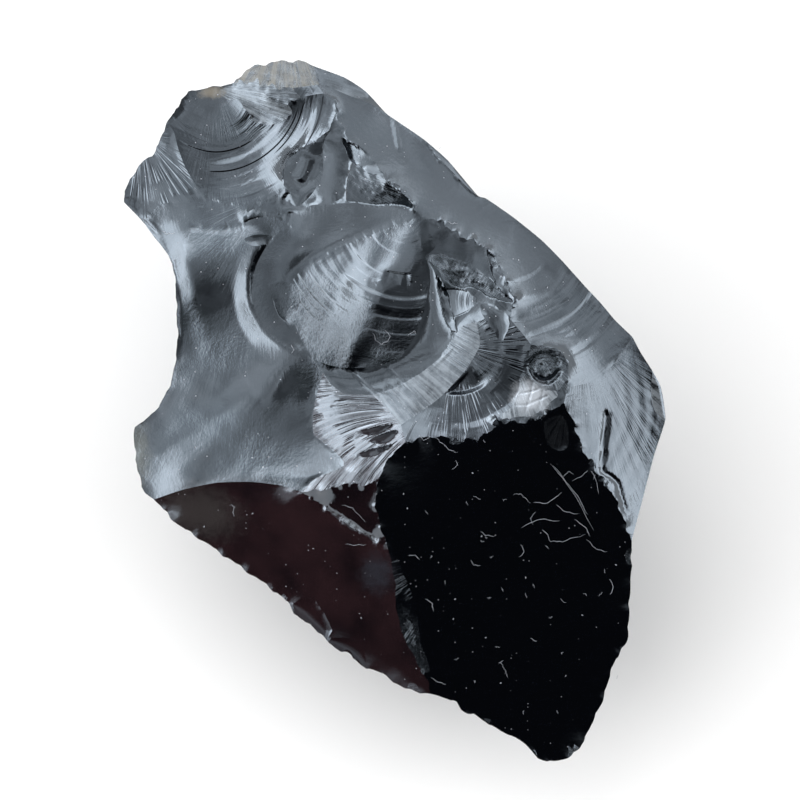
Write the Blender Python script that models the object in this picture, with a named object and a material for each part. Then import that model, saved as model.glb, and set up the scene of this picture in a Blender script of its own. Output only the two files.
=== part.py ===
"""Obsidian chunk: one broken lump of volcanic glass, lying on its flattest side.

Its upper side is a net of lines drawn from above. A loop of lines is the rim of one fracture scar, and
the scar's floor spans the heights along that rim by mean value coordinates, then cups, dents or ripples.
Smaller, later scars cut the first ones. The underside is a flat foot with nine plain facets that climb
from it to the outline. Both sides are square grids wrapped onto the outline and cut along every rim, so
each crease of the glass is a line of mesh edges. +Y is the longest extent, +Z is up, and the origin is
the middle of the base. The tables are in millimetres.
"""

import math

import bpy
import numpy as np

MM = 0.001

GRID_TOP = 57              # points along each side of the upper grid; the underside takes every second one
GRID_CENTRE = (0.8, 1.4)   # every ray from this point crosses the outline once
LINE_STEPS = 5             # points between two given points of a line
RIB_STEPS = 20             # the same for the ribs of the underside
CRISP = 0.5                # share of the straight run in a line, which keeps its bends from going round
MOVE = 0.3                 # a point this near to a rim, as a share of an edge, moves onto the rim
SNAP = 0.08                # a cut this near to an edge's end, as a share of the edge, is made at that end
CUT_STEPS = 10             # halvings that find where a rim crosses an edge
SHARP_ANGLE = 22.0         # degrees between two faces from which their edge is a crease

GLASS_COLOUR = (0.012, 0.013, 0.016, 1.0)
GLASS_ROUGHNESS = 0.07

# where lines meet: x, y and height
CORNERS = {
    "crown": (-8.9, 38.3, 23.6), "shoulder": (-0.8, 33, 24), "east": (26.3, 8.4, 25.5),
    "hip": (26.3, -14.1, 20.6), "heel": (4.1, -31.2, 13.6), "west": (-26.6, -9.6, 15.6),
    "notch": (-27.7, 21.2, 16.8), "cheek": (-25.1, 32.2, 19.2), "brow": (-17.7, 36.4, 22),
    "crust_end": (-11.3, 35.8, 25), "crust_east": (-8.2, 36.2, 24.9), "lobe_west": (-10.2, 34.8, 25.2),
    "lobe_east": (-6.4, 34.4, 26), "apex": (2.8, 21.6, 29.4), "saddle_head": (15.1, 7.5, 30.9),
    "saddle_east": (19.1, 2.8, 30.1), "saddle_foot": (18.7, 1.1, 29.8),
    "slab_corner": (1.3, -3.2, 28.3), "brown_corner": (-0.6, -15.1, 22.8),
    "bay_foot": (-10.2, -8.7, 22.6), "shell_west": (-11.9, 20.7, 23), "shell_south": (-8.9, 6, 23.7),
    "fold_foot": (-5.8, 5.4, 25), "moat_west": (-7.8, 4.5, 23.5), "moat_head": (3.5, 17.2, 29),
    "band_head": (9.1, 10, 29.8), "band_west": (-2.3, 2, 25.3), "band_north": (6.5, 8.2, 28),
    "fan_south": (-1.6, -7.2, 26.9), "band_foot": (0.8, -1.3, 27.2), "crest_step": (12.7, 10.4, 31),
    "terrace_foot": (12.7, -0.9, 29.9), "cap_foot": (-19.9, 23.4, 20.6), "cap_east": (-11.9, 24.8, 24),
}

# each line runs through these points; a name is a corner
LINES = {
    "edge_shoulder": ["crown", (-5.4, 37, 23.7), (-3.1, 35.5, 23.8), "shoulder"],
    "edge_flank": ["shoulder", (0.8, 31.9, 24.6), (3.4, 30.1, 25.3), (5.9, 27.9, 25.9),
        (7.6, 25.9, 26.2), (9.3, 23.9, 26.4), (10.2, 23.6, 26.5), (13.1, 21.6, 26.9),
        (16.2, 19.1, 27.1), (18.4, 16.9, 27.1), (21.1, 13.9, 26.9), (22.8, 12.1, 26.6),
        (24.4, 10.2, 26.1), "east"],
    "edge_east": ["east", (27.2, 6.7, 24.9), (28.5, 4.7, 23.9), (29.4, 3.1, 23), (29.8, 1.4, 22.3),
        (30, -0.8, 21.6), (28.8, -4.6, 21), (27.5, -9.6, 20.4), "hip"],
    "edge_slab": ["hip", (26.3, -16.2, 19.3), (26.1, -21.9, 16.5), (25.9, -25.3, 14.7),
        (24.5, -27.6, 13.6), (23.2, -32, 11.3), (21.4, -36, 9.4), (20.7, -37.3, 8.9),
        (19.8, -38.2, 8.5), (17.8, -38.9, 8.1), (15.9, -38.4, 8.4), (14.5, -36.7, 9.4),
        (11.2, -35, 10.6), (9.2, -33.7, 11.5), (7.6, -33.1, 12), (7.2, -31.9, 12.8), "heel"],
    "edge_brown": ["heel", (1.2, -30.6, 14), (-1, -29.1, 14.4), (-4.1, -27.7, 14.6), (-5, -26.6, 14.8),
        (-6.9, -25.9, 14.9), (-8.2, -24.3, 15), (-10.4, -22.8, 15.1), (-11.9, -20.9, 15.3),
        (-13, -19.9, 15.4), (-15.5, -18.1, 15.5), (-18.8, -15.8, 15.6), (-22.3, -13.4, 15.6),
        (-23.9, -12.4, 15.6), "west"],
    "edge_bay": ["west", (-27.8, -8.5, 15.2), (-28.6, -5.2, 15), (-28.8, -1.6, 15.2),
        (-27.8, -1, 15.6), (-25.9, 0.9, 16.4), (-24.5, 3.9, 17), (-23.9, 8, 18.2), (-24, 11.3, 19),
        (-24.1, 14.1, 19.1), (-24.5, 16.6, 18.6), (-25.6, 18.4, 18), (-27.1, 20.2, 17), "notch"],
    "edge_cheek": ["notch", (-29.6, 23, 16), (-30, 23.6, 15.7), (-29.8, 24.5, 15.9),
        (-28.9, 26.4, 16.5), (-27.8, 27.8, 17.1), (-26.7, 28.6, 17.6), (-26, 29.8, 18.2), "cheek"],
    "edge_cap": ["cheek", (-24.5, 33, 19.6), (-23.8, 33.7, 20), (-23.6, 34.6, 20.2),
        (-22.3, 35.6, 20.8), (-20.1, 36, 21.4), "brow"],
    "edge_crust": ["brow", (-16.8, 37.5, 21.6), (-14.8, 38.5, 21.8), (-12.4, 38.8, 22.6),
        (-10.4, 38.9, 23.2), "crown"],
    "crust_line": ["brow", (-15.7, 36.6, 23), (-13.5, 36, 24.3), "crust_end"],
    "crust_step": ["crust_end", (-9.7, 36, 25.1), "crust_east"],
    "crust_side": ["crown", (-8.5, 37.2, 24.4), "crust_east"],
    "shoulder_line": ["crust_east", (-6.4, 35.6, 25), (-4.7, 34.9, 25), (-2.5, 34.1, 24.6), "shoulder"],
    "flank_foot": ["east", (25, 6.4, 26), (23.3, 4.4, 26.7), (21.7, 3.4, 28), "saddle_east"],
    "crest_east": ["saddle_east", (19.2, 5.3, 30), (18.4, 6.7, 30.3), (16.7, 7.3, 30.7), "saddle_head"],
    "crest_step_line": ["saddle_head", (14, 8.9, 31), "crest_step"],
    "crest_middle": ["crest_step", (13.3, 12.4, 30.8), (12.3, 14.1, 30.6), (10.9, 16.6, 30),
        (10, 18.3, 29.5), (8.5, 19, 29.3), (6.8, 19.9, 29.2), (5.2, 21.1, 29.1), "apex"],
    "crest_north": ["apex", (1.9, 23.1, 29.2), (0.6, 24.8, 28.8), (-1.4, 26.2, 28.2),
        (-3.4, 28.4, 27.4), (-5, 30.4, 26.8), (-6, 32.2, 26.4), "lobe_east"],
    "lobe_top": ["lobe_east", (-7.8, 35.2, 25.6), "lobe_west"],
    "lobe_side": ["lobe_west", "crust_end"],
    "cap_top": ["brow", (-16.3, 35.3, 23.4), (-14.4, 34.4, 24.4), (-12.2, 33.9, 25), "lobe_west"],
    "saddle_side": ["saddle_east", "saddle_foot"],
    "slab_east": ["saddle_foot", (19.7, -0.8, 28.2), (20.6, -3.5, 26.8), (21.9, -5.7, 25.5),
        (22.8, -7.2, 24.7), (24.1, -8.7, 23.7), (25.2, -11.2, 22.2), "hip"],
    "slab_top_east": ["saddle_foot", (16.7, 0.1, 29.9), (15.1, -0.9, 29.8), "terrace_foot"],
    "slab_top_west": ["terrace_foot", (11, -0.9, 29.9), (10.7, -2.1, 29.6), (8.5, -2.8, 29.2),
        (4.1, -2.6, 28.6), "slab_corner"],
    "slab_west_upper": ["slab_corner", (-0.6, -5, 27.7), "fan_south"],
    "slab_west_lower": ["fan_south", (-2.1, -9.6, 25.8), (-1.5, -12.3, 24.3), "brown_corner"],
    "slab_heel": ["brown_corner", (1.3, -21.7, 19), (2.4, -26.1, 16.6), "heel"],
    "brown_top": ["west", (-23.4, -8.5, 17.6), (-19.6, -7.7, 19.4), (-15.7, -7.6, 20.9),
        (-12.4, -8, 22.1), "bay_foot"],
    "brown_east": ["bay_foot", (-8, -10.1, 22.9), (-5.3, -12, 23.2), (-2.3, -13.6, 23.2), "brown_corner"],
    "fan_west": ["bay_foot", (-8.6, -7.2, 23.3), (-5.6, -6, 24.3), (-5.6, -5.2, 24.2),
        (-6.9, -3.9, 23.5), (-8.8, -2.4, 22.9), (-8.9, -0.2, 22.8), (-8.5, 2, 23), "moat_west"],
    "moat_end": ["moat_west", "shell_south"],
    "shell_rim_west": ["shell_south", (-10.4, 6.9, 23.2), (-12.4, 8, 22.6), (-14.4, 9.3, 22),
        (-15.4, 11.3, 21.7), (-15.7, 13.5, 21.6), (-15.2, 16.3, 21.8), (-13.8, 18.8, 22.4), "shell_west"],
    "shell_rim_south": ["shell_south", "fold_foot"],
    "shell_fold": ["apex", (0.4, 17.9, 29.2), (-1.8, 13.2, 28.6), (-4.1, 8.6, 27.3), "fold_foot"],
    "shell_rim_east": ["fold_foot", (-3.4, 5, 25.4), (-1.4, 5.2, 25.8), (0.8, 6.2, 26.4),
        (2.3, 8.4, 27.1), (3.3, 11.1, 27.9), (3.9, 14.2, 28.5), "moat_head"],
    "shell_rim_apex": ["moat_head", (3.1, 19.2, 29.2), "apex"],
    "fan_top": ["moat_west", (-6.9, 3.1, 23.7), (-5.3, 2.1, 24.3), "band_west"],
    "band_upper": ["band_west", (0.2, 2.8, 25.9), (3, 4.4, 26.5), (5.2, 6.2, 27.2), "band_north"],
    "moat_side": ["band_north", (5.8, 10.8, 28.5), (5.1, 13.5, 28.8), (4.4, 15.7, 28.9), "moat_head"],
    "band_top": ["band_north", (7.6, 9.6, 29), "band_head"],
    "band_lower": ["band_head", (9.5, 7.5, 29.4), (7.9, 4.7, 28.7), (5.2, 1.8, 27.8), (2.8, 0, 27.4),
        "band_foot"],
    "band_end": ["band_foot", (-0.9, 0.6, 26.2), "band_west"],
    "fan_tip": ["band_foot", "slab_corner"],
    "fan_low": ["fan_south", (-3.4, -8, 26.2), (-5.3, -7.7, 25.4), (-7.5, -8.4, 24), "bay_foot"],
    "terrace_top": ["band_head", (10.9, 10.6, 31), "crest_step"],
    "terrace_side": ["saddle_head", (14.4, 5.6, 30.2), (14.4, 3.6, 29.7), (13.9, 1.5, 29.3),
        "terrace_foot"],
    "bay_top": ["shell_west", (-13.5, 21.8, 22.7), (-16.8, 22.7, 21.6), "cap_foot"],
    "cheek_foot": ["cap_foot", (-22.3, 23.5, 19.7), (-25.9, 23.1, 18), "notch"],
    "cap_west": ["cheek", (-24.3, 31.1, 19.6), (-23.9, 29.5, 20), (-23.1, 27.3, 20.3),
        (-21.8, 25.1, 20.5), "cap_foot"],
    "cap_low": ["cap_foot", (-17.9, 23.1, 21.4), (-15.7, 23.1, 22.2), (-13.5, 23.8, 23), "cap_east"],
    "cap_side": ["cap_east", (-12.3, 26.7, 24.2), (-11.3, 28.6, 24.9), (-9.1, 29.7, 25.7),
        (-7.5, 30.8, 26.1), (-6.5, 32.5, 26.2), "lobe_east"],
    "shell_rim_north": ["apex", (-1.4, 23.1, 27.8), (-5.8, 23.1, 26.2), (-9.1, 22.9, 24.7),
        (-10.8, 21.9, 23.6), "shell_west"],
}

# the first scars: each rim is a loop of lines, and a line with a minus runs backwards
SCARS = {
    "shoulder": ["edge_shoulder", "-shoulder_line", "-crust_side"],
    "crust": ["edge_crust", "crust_side", "-crust_step", "-crust_line"],
    "flank": ["edge_flank", "flank_foot", "crest_east", "crest_step_line", "crest_middle",
        "crest_north", "lobe_top", "lobe_side", "crust_step", "shoulder_line"],
    "east_slope": ["edge_east", "-slab_east", "-saddle_side", "-flank_foot"],
    "slab": ["edge_slab", "-slab_heel", "-slab_west_lower", "-slab_west_upper", "-slab_top_west",
        "-slab_top_east", "slab_east"],
    "brown_slope": ["edge_brown", "brown_top", "brown_east", "slab_heel"],
    "bay": ["edge_bay", "-cheek_foot", "-bay_top", "-shell_rim_west", "-moat_end", "-fan_west",
        "-brown_top"],
    "cheek": ["edge_cheek", "cap_west", "cheek_foot"],
    "cap": ["edge_cap", "cap_top", "-lobe_top", "-cap_side", "-cap_low", "-cap_west"],
    "brow": ["crust_line", "-lobe_side", "-cap_top"],
    "waist": ["cap_side", "-crest_north", "shell_rim_north", "bay_top", "cap_low"],
    "shell_west": ["shell_rim_north", "-shell_rim_west", "shell_rim_south", "-shell_fold"],
    "shell_east": ["shell_fold", "shell_rim_east", "shell_rim_apex"],
    "moat": ["moat_end", "shell_rim_south", "shell_rim_east", "-moat_side", "-band_upper", "-fan_top"],
    "band": ["band_upper", "band_top", "band_lower", "band_end"],
    "fan": ["fan_west", "fan_top", "-band_end", "fan_tip", "slab_west_upper", "fan_low"],
    "dark_foot": ["-fan_low", "slab_west_lower", "-brown_east"],
    "terrace": ["-band_lower", "terrace_top", "-crest_step_line", "terrace_side", "slab_top_west",
        "-fan_tip"],
    "saddle": ["terrace_side", "-slab_top_east", "-saddle_side", "crest_east"],
    "knot": ["-crest_middle", "-terrace_top", "-band_top", "moat_side", "shell_rim_apex"],
}

# the foot's corners with the rib that climbs from each: where it leaves the outline, a point on its way,
# where it meets the foot, and how far the facet between it and the next rib bulges
RIBS = [
    ((-8.9, 38.3), (-8, 25.6, 7), (-8.2, 12.4), 0.25),
    ((9.3, 23.9), (5.6, 20.6, 11), (1.3, 15.9), 0.12),
    ((26.3, 8.4), (19, 9.1, 9), (9.8, 10.4), 0.3),
    ((26.3, -14.1), (21.4, -8, 7.5), (14, -0.8), 0.2),
    ((17.8, -38.9), (14.8, -27.2, 3.2), (11.6, -14), 0.15),
    ((1.2, -30.6), (1.6, -23.9, 5.2), (2.4, -16.8), 0.3),
    ((-18.8, -15.8), (-13.8, -12.7, 5.6), (-8.2, -9.6), 0.12),
    ((-28.8, -1.6), (-21.4, 0.3, 5.6), (-13.3, 1.4), 0.0),
    ((-30, 23.6), (-21.4, 16.6, 6.4), (-12.4, 8.6), 0.1),
]
OUTLINE = ["edge_shoulder", "edge_flank", "edge_east", "edge_slab", "edge_brown", "edge_bay", "edge_cheek",
           "edge_cap", "edge_crust"]


# ---- forms of a scar's floor: each returns a function of x and y that gives a height ----

def dent(at, size, deep, power=1.0):
    """A hollow with an elliptical bell shape; a negative depth makes a knob."""
    def height(x, y):
        reach = ((x - at[0]) / size[0]) ** 2 + ((y - at[1]) / size[1]) ** 2
        return -deep * np.exp(-reach ** power)
    return height


def ridge(start, end, high, wide, bow):
    """A rounded ridge from start to end, bowed sideways in the middle."""
    run = np.subtract(end, start)
    length = math.hypot(*run)

    def height(x, y):
        along = ((x - start[0]) * run[0] + (y - start[1]) * run[1]) / length ** 2
        across = ((y - start[1]) * run[0] - (x - start[0]) * run[1]) / length
        across = across + 4 * bow * along * (1 - along)
        ends = np.clip(along / 0.15, 0, 1) * np.clip((1 - along) / 0.15, 0, 1)
        return high * np.exp(-(across / wide) ** 2) * ends
    return height


def ripples(at, radii, high, nearest, furthest, sector=None):
    """Waves round a point of impact, with a crest between each two of the radii.

    A sector keeps them between two angles, in degrees, and fades them out towards both.
    """
    counts = np.arange(len(radii))

    def height(x, y):
        radius = np.hypot(x - at[0], y - at[1])
        wave = np.sin(2 * math.pi * np.interp(radius, radii, counts))
        wave = wave * np.clip(radius - nearest, 0, 1) * np.clip(furthest - radius, 0, 1)
        if sector:
            middle, half = math.radians(sum(sector) / 2), math.radians((sector[1] - sector[0]) / 2)
            angle = np.arctan2(y - at[1], x - at[0])
            off = np.abs((angle - middle + math.pi) % (2 * math.pi) - math.pi)
            wave = wave * np.clip((half - off) / 0.4, 0, 1)
        return high * wave
    return height


def hackles(at, count, high):
    """Low ribs that spread from a point."""
    def height(x, y):
        radius = np.hypot(x - at[0], y - at[1])
        return high * np.sin(count * np.arctan2(y - at[1], x - at[0])) * np.minimum(radius / 8, 1)
    return height


# how each first scar's floor leaves the surface that its rim spans: the cup's share of the depth inside
# the rim, and its forms
FLOORS = {
    "shoulder": {"cup": 0.1},
    "crust": {"cup": -0.3},
    "flank": {"cup": 0.12, "forms": [
        ripples((10.9, 17.4), [0, 5.6, 10.6, 16.4, 22], 0.12, 2.5, 18, sector=(-75, 10))]},
    "east_slope": {"cup": 0.1, "forms": [dent((27.7, 0.9), (1.2, 5), 0.25)]},
    "slab": {"cup": 0.03},
    "brown_slope": {"cup": 0.08},
    "bay": {"cup": 0.06, "forms": [
        dent((-19.1, 13.8), (2.3, 5.5), 1.0, power=1.3),
        ridge((-26.7, -9.6), (-8.9, 8.6), 0.3, 2.0, 0.6)]},
    "cheek": {"cup": 0.15},
    "cap": {"cup": 0.35, "forms": [ripples((-19.6, 36.1), [0, 3, 6.6, 10.2, 13.8, 17], 0.16, 4, 15)]},
    "brow": {"cup": 0.3},
    "waist": {"cup": 0.2},
    "shell_west": {"cup": 0.05, "forms": [
        ripples((3, 22.1), [0, 3, 6.6, 10.2, 13.8, 17.4, 21], 0.14, 6, 21)]},
    "shell_east": {"cup": 0.05, "forms": [
        ripples((3, 22.1), [0, 3, 6.6, 10.2, 13.8, 17.4, 21], 0.14, 3, 21)]},
    "moat": {"cup": 0.35},
    "band": {"cup": 0.1},
    "fan": {"cup": 0.1, "forms": [hackles((1, -1.6), 17, 0.18)]},
    "dark_foot": {"cup": 0.2},
    "terrace": {"cup": 0.2, "forms": [ripples((6.8, 7.5), [0, 3, 6.4, 9.8, 13], 0.14, 1.5, 12)]},
    "saddle": {"cup": 0.2},
    "knot": {"cup": 0.2},
}

# the later scars in the order they broke: the rim's points, the cup, and how the rim's plane leans: its
# slope along x and y, and its rise; a repeated point is a corner
LATER_SCARS = {
    "pit": {"rim": [(14.5, 6), (15.4, 7), (16.7, 7.4), (18, 6.9), (18.9, 5.6), (18.9, 3.9), (18.1, 2.6),
                    (16.9, 2.4), (15.7, 3.2), (14.7, 4.1), (14.3, 5.1)],
            "cup": 0.55, "forms": [dent((16.2, 5.1), (1, 1), -0.75, power=1.5)]},
    "corner_chip": {"rim": [(28.6, 5), (28.6, 5), (29.8, 3.1), (30.7, -0.8), (30.2, -1.2), (30.2, -1.2),
                            (28.8, 0.3), (28.4, 2.3)],
                    "cup": 0.2, "lean": (-0.25, 0, -0.1)},
    "scallop": {"rim": [(-10.8, -20.9), (-9.9, -20.4), (-8.7, -20.9), (-7.7, -22.1), (-7, -23.9),
                        (-7.5, -25.2), (-8.9, -25.2), (-10.4, -23.6), (-11.1, -22)],
                "cup": 0.55},
    "foot_chip": {"rim": [(-7.4, -25.6), (-6, -24.9), (-4.5, -25.4), (-3.4, -26.6), (-3, -28.3),
                          (-4.7, -28.3), (-6.7, -26.9)],
                  "cup": 0.35},
    "tear": {"rim": [(-12, 25), (-12.1, 26.3), (-11.7, 27.6), (-10.9, 28.6), (-9.6, 29.3), (-8.1, 29.7),
                     (-7.8, 28.7), (-8.2, 26.7), (-9.3, 25.3), (-10.8, 24.5)],
             "cup": 0.3},
    "smooth_lens": {"rim": [(-7.7, 29.8), (-6.3, 31.4), (-5.2, 30), (-5, 27.3), (-5.3, 24.5), (-6.4, 23.3),
                            (-8.5, 23.3), (-7.8, 26.2)],
                    "cup": -0.12},
    "dark_triangle": {"rim": [(-4.7, 27.8), (-4.7, 27.8), (-3, 27.2), (-0.9, 25.6), (0.7, 24.2),
                              (2.1, 22.7), (2.1, 22.7), (-0.3, 23), (-5.2, 23.4), (-5.2, 23.4)],
                      "cup": 0.1, "lean": (0, 0.3, -0.1)},
    "glint": {"rim": [(-5.5, 30.1), (-5.5, 30.1), (-4.2, 29.3), (-2.3, 27.8), (-0.9, 26.1), (-3, 26.7),
                      (-4.6, 27.8)],
              "cup": 0.2, "lean": (0.25, 0, 0)},
    "upper_step": {"rim": [(-14.8, 22.8), (-12.9, 23.4), (-10.2, 23.1), (-9.5, 22.3), (-11.8, 22),
                           (-13.8, 22.1)],
                   "cup": 0.35},
    "lower_step": {"rim": [(-16.8, 20.8), (-14.8, 21.6), (-12.7, 21.3), (-11.3, 20.5), (-13.3, 20),
                           (-15.5, 20.1)],
                   "cup": 0.35},
    "wedge": {"rim": [(3.7, 17.1), (3.7, 17.1), (5.2, 17.5), (7.2, 16.9), (9.3, 15.7), (11.3, 14.1),
                      (12.9, 12.3), (12.9, 12.3), (10.7, 12.8), (8.5, 13.8), (6.5, 14.2), (5, 15.3)],
              "cup": 0.15, "lean": (0, 0.25, -0.15)},
    "crest_strip": {"rim": [(10.3, 18), (10.3, 18), (11.2, 16.6), (12.4, 14.3), (13.2, 12.4),
                            (13.2, 12.4), (12.1, 13), (11.1, 14.6)],
                    "cup": 0.1, "lean": (0.35, 0, -0.05)},
    "small_shell": {"rim": [(5.5, 13.5), (5.5, 13.5), (7.6, 13.4), (9.7, 12.4), (9.7, 12.4), (8.2, 11.4),
                            (6.5, 10.6), (5.7, 11.6)],
                    "cup": 0.1, "lean": (0.3, 0, -0.15)},
    "fin": {"rim": [(4.7, 15.1), (4.7, 15.1), (5.7, 13.5), (6.3, 11.6), (6.9, 8.9), (6.9, 8.9), (5.8, 10),
                    (5.3, 12.4)],
            "cup": -0.15, "lean": (0.4, 0, 0.1)},
    "hollow": {"rim": [(9.7, 12), (11.2, 11.8), (12.4, 10.7), (12.7, 9.6), (11.9, 7.9), (10.9, 9.1),
                       (9.9, 10.4)],
               "cup": 0.4},
}
FADE = 0.5                 # forms grow from nothing over this depth inside their rim


# ---- lines ----

def stretch(before, start, end, after, share):
    """The Catmull-Rom stretch from start to end, at the given shares of it."""
    return 0.5 * (2 * start + (end - before) * share
                  + (2 * before - 5 * start + 4 * end - after) * share ** 2
                  + (3 * start - before - 3 * end + after) * share ** 3)


def open_curve(points, steps):
    """A smooth curve through the points, both ends included."""
    share = (np.arange(steps) / steps)[:, None]
    points = np.asarray(points, float)
    ends = np.vstack([2 * points[0] - points[1], points, 2 * points[-1] - points[-2]])
    parts = [stretch(*ends[i:i + 4], share) for i in range(len(points) - 1)]
    return np.vstack(parts + [points[-1:]])


def closed_curve(points, steps):
    """A smooth curve round the points; where a point comes twice, the curve has a corner."""
    share = (np.arange(steps) / steps)[:, None]
    points = np.asarray(points, float)
    parts = []
    for i, start in enumerate(points):
        end = points[(i + 1) % len(points)]
        if np.any(start != end):
            parts.append(stretch(points[i - 1], start, end, points[(i + 2) % len(points)], share))
    return np.vstack(parts)


def line(name):
    """A line of the net, between its smooth curve and its straight runs."""
    points = np.array([CORNERS[p] if isinstance(p, str) else p for p in LINES[name]], float)
    share = np.arange((len(points) - 1) * LINE_STEPS + 1) / LINE_STEPS
    straight = np.stack([np.interp(share, np.arange(len(points)), points[:, k]) for k in range(3)], axis=1)
    return CRISP * straight + (1 - CRISP) * open_curve(points, LINE_STEPS)


def loop(names):
    """Lines end to end; one with a minus runs backwards."""
    parts = [line(name[1:])[::-1] if name.startswith("-") else line(name) for name in names]
    return np.vstack([part[:-1] for part in parts])


# ---- scars ----

class Scar:
    """A patch of the surface: its rim with heights, and how its floor leaves the surface they span."""

    def __init__(self, rim, cup=0.0, forms=()):
        self.rim = rim[:, :2]
        self.heights = rim[:, 2]
        self.cup = cup
        self.forms = forms

    def holds(self, x, y):
        """Whether points lie inside the rim: a ray from each crosses it an odd number of times."""
        odd = np.zeros(x.shape, bool)
        for (x0, y0), (x1, y1) in zip(self.rim, np.roll(self.rim, -1, 0)):
            if y0 != y1:
                odd ^= ((y0 > y) != (y1 > y)) & (x < (x1 - x0) * (y - y0) / (y1 - y0) + x0)
        return odd

    def floor(self, x, y):
        """The heights of points inside the rim, by mean value coordinates."""
        a, b = self.rim.T
        turn = np.sign(np.sum(a * np.roll(b, -1) - np.roll(a, -1) * b))
        dx, dy = a - x[:, None], b - y[:, None]
        far = np.hypot(dx, dy) + 1e-9
        next_dx, next_dy, next_far = (np.roll(v, -1, 1) for v in (dx, dy, far))
        cross = (dx * next_dy - dy * next_dx) * turn
        below = far * next_far + dx * next_dx + dy * next_dy
        tangent = np.where(below > 1e-10 * far ** 2, cross / np.maximum(below, 1e-30), 1e8)
        weight = (tangent + np.roll(tangent, 1, 1)) / far
        total = weight.sum(1)
        total = np.where(np.abs(total) < 1e-3, 1e-3, total)
        depth = 2 / np.abs(total)
        grow = np.clip(depth / FADE, 0, 1)
        grow = grow * grow * (3 - 2 * grow)
        height = weight @ self.heights / total - self.cup * depth
        return height + sum(form(x, y) * grow for form in self.forms)


def which_scar(scars, x, y):
    """The number of the last scar that holds each point; one just outside them all is drawn inwards."""
    number = np.full(x.shape, -1)
    shrink = 1.0
    while (number < 0).any():
        lost = number < 0
        px = GRID_CENTRE[0] + (x[lost] - GRID_CENTRE[0]) * shrink
        py = GRID_CENTRE[1] + (y[lost] - GRID_CENTRE[1]) * shrink
        found = np.full(px.shape, -1)
        for k, scar in enumerate(scars):
            found[scar.holds(px, py)] = k
        number[lost] = found
        shrink -= 0.002
    return number


def heights(scars, x, y, number):
    """The height of each point on the floor of its scar."""
    z = np.zeros(x.shape)
    for k in np.unique(number):
        here = number == k
        z[here] = scars[k].floor(x[here], y[here])
    return z


def upper_scars():
    """The first scars, then each later one, whose rim lies on what was there before it."""
    scars = [Scar(loop(lines), **FLOORS[name]) for name, lines in SCARS.items()]
    for later in LATER_SCARS.values():
        rim = closed_curve(later["rim"], LINE_STEPS)
        x, y = rim.T
        slope_x, slope_y, rise = later.get("lean", (0, 0, 0))
        z = heights(scars, x, y, which_scar(scars, x, y))
        z = z + slope_x * (x - x.mean()) + slope_y * (y - y.mean()) + rise
        scars.append(Scar(np.column_stack([x, y, z]), later["cup"], later.get("forms", ())))
    return scars


def under_scars(outline):
    """The flat foot, and the facets between the ribs that climb from it to the outline."""
    feet = np.array([(*foot, 0.0) for _, _, foot, _ in RIBS])
    starts = []
    ribs = []
    for (top, middle, _, _), foot in zip(RIBS, feet):
        start = int(np.argmin(np.hypot(*(outline[:, :2] - top).T)))
        starts.append(start)
        ribs.append(open_curve([outline[start], middle, foot], RIB_STEPS))
    scars = [Scar(feet)]
    for k, (_, _, _, bulge) in enumerate(RIBS):
        after = (k + 1) % len(RIBS)
        edge = np.roll(outline, -starts[k], 0)[:(starts[after] - starts[k]) % len(outline)]
        rim = np.vstack([edge, ribs[after][:-1], feet[after], ribs[k][:0:-1]])
        scars.append(Scar(rim, cup=-bulge))
    return scars


# ---- grids ----

def round_grid(count):
    """A square grid as rings: each point's ring from 0 to 1, its angle, and the grid's triangles."""
    i, j = (k.ravel() for k in np.meshgrid(np.arange(count), np.arange(count), indexing="ij"))
    u, v = 2 * i / (count - 1) - 1, 2 * j / (count - 1) - 1
    ring = np.maximum(np.abs(u), np.abs(v))
    wide = np.abs(u) >= np.abs(v)
    along, across = np.where(wide, u, v), np.where(wide, v, -u)
    angle = np.where(wide, 0.0, math.pi / 2) + np.where(along < 0, math.pi, 0.0)
    angle = angle + math.pi / 4 * across / np.where(along == 0, 1, along)
    cell = (i < count - 1) & (j < count - 1)
    a = np.nonzero(cell)[0]
    b, c, d = a + count, a + count + 1, a + 1
    half = (count - 1) / 2
    rising = ((i[cell] < half) == (j[cell] < half))[:, None]
    pair = np.where(rising, np.column_stack([a, b, c, a, c, d]), np.column_stack([a, b, d, b, c, d]))
    return ring, angle % (2 * math.pi), pair.reshape(-1, 3)


def reach(outline, angle):
    """Where the ray at each angle meets the outline: its length and the outline's height there."""
    away = outline[:, :2] - GRID_CENTRE
    table = np.column_stack([np.arctan2(away[:, 1], away[:, 0]) % (2 * math.pi), np.hypot(*away.T),
                             outline[:, 2]])
    table = table[np.argsort(table[:, 0])]
    turn = np.array([2 * math.pi, 0, 0])
    table = np.vstack([table[-1] - turn, table, table[0] + turn])
    after = np.searchsorted(table[:, 0], angle, side="right")
    angle0, far0, z0 = table[after - 1].T
    angle1, far1, z1 = table[after].T
    part0, part1 = far0 * np.sin(angle - angle0), far1 * np.sin(angle1 - angle)
    share = part0 / (part0 + part1)
    return far0 * far1 * np.sin(angle1 - angle0) / (part0 + part1), z0 + (z1 - z0) * share


def surface(scars, outline, count):
    """One side of the stone: points, triangles, the scar of each triangle, and which points are rim."""
    ring, angle, faces = round_grid(count)
    length, edge_z = reach(outline, angle)
    x = GRID_CENTRE[0] + ring * length * np.cos(angle)
    y = GRID_CENTRE[1] + ring * length * np.sin(angle)
    number = which_scar(scars, x, y)
    rim = ring > 1 - 1e-9
    z = np.where(rim, edge_z, heights(scars, x, y, number))
    points, faces, number = cut_at_rims(scars, np.column_stack([x, y, z]), faces, number, rim)
    return points, faces, number, np.nonzero(rim)[0]


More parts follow.
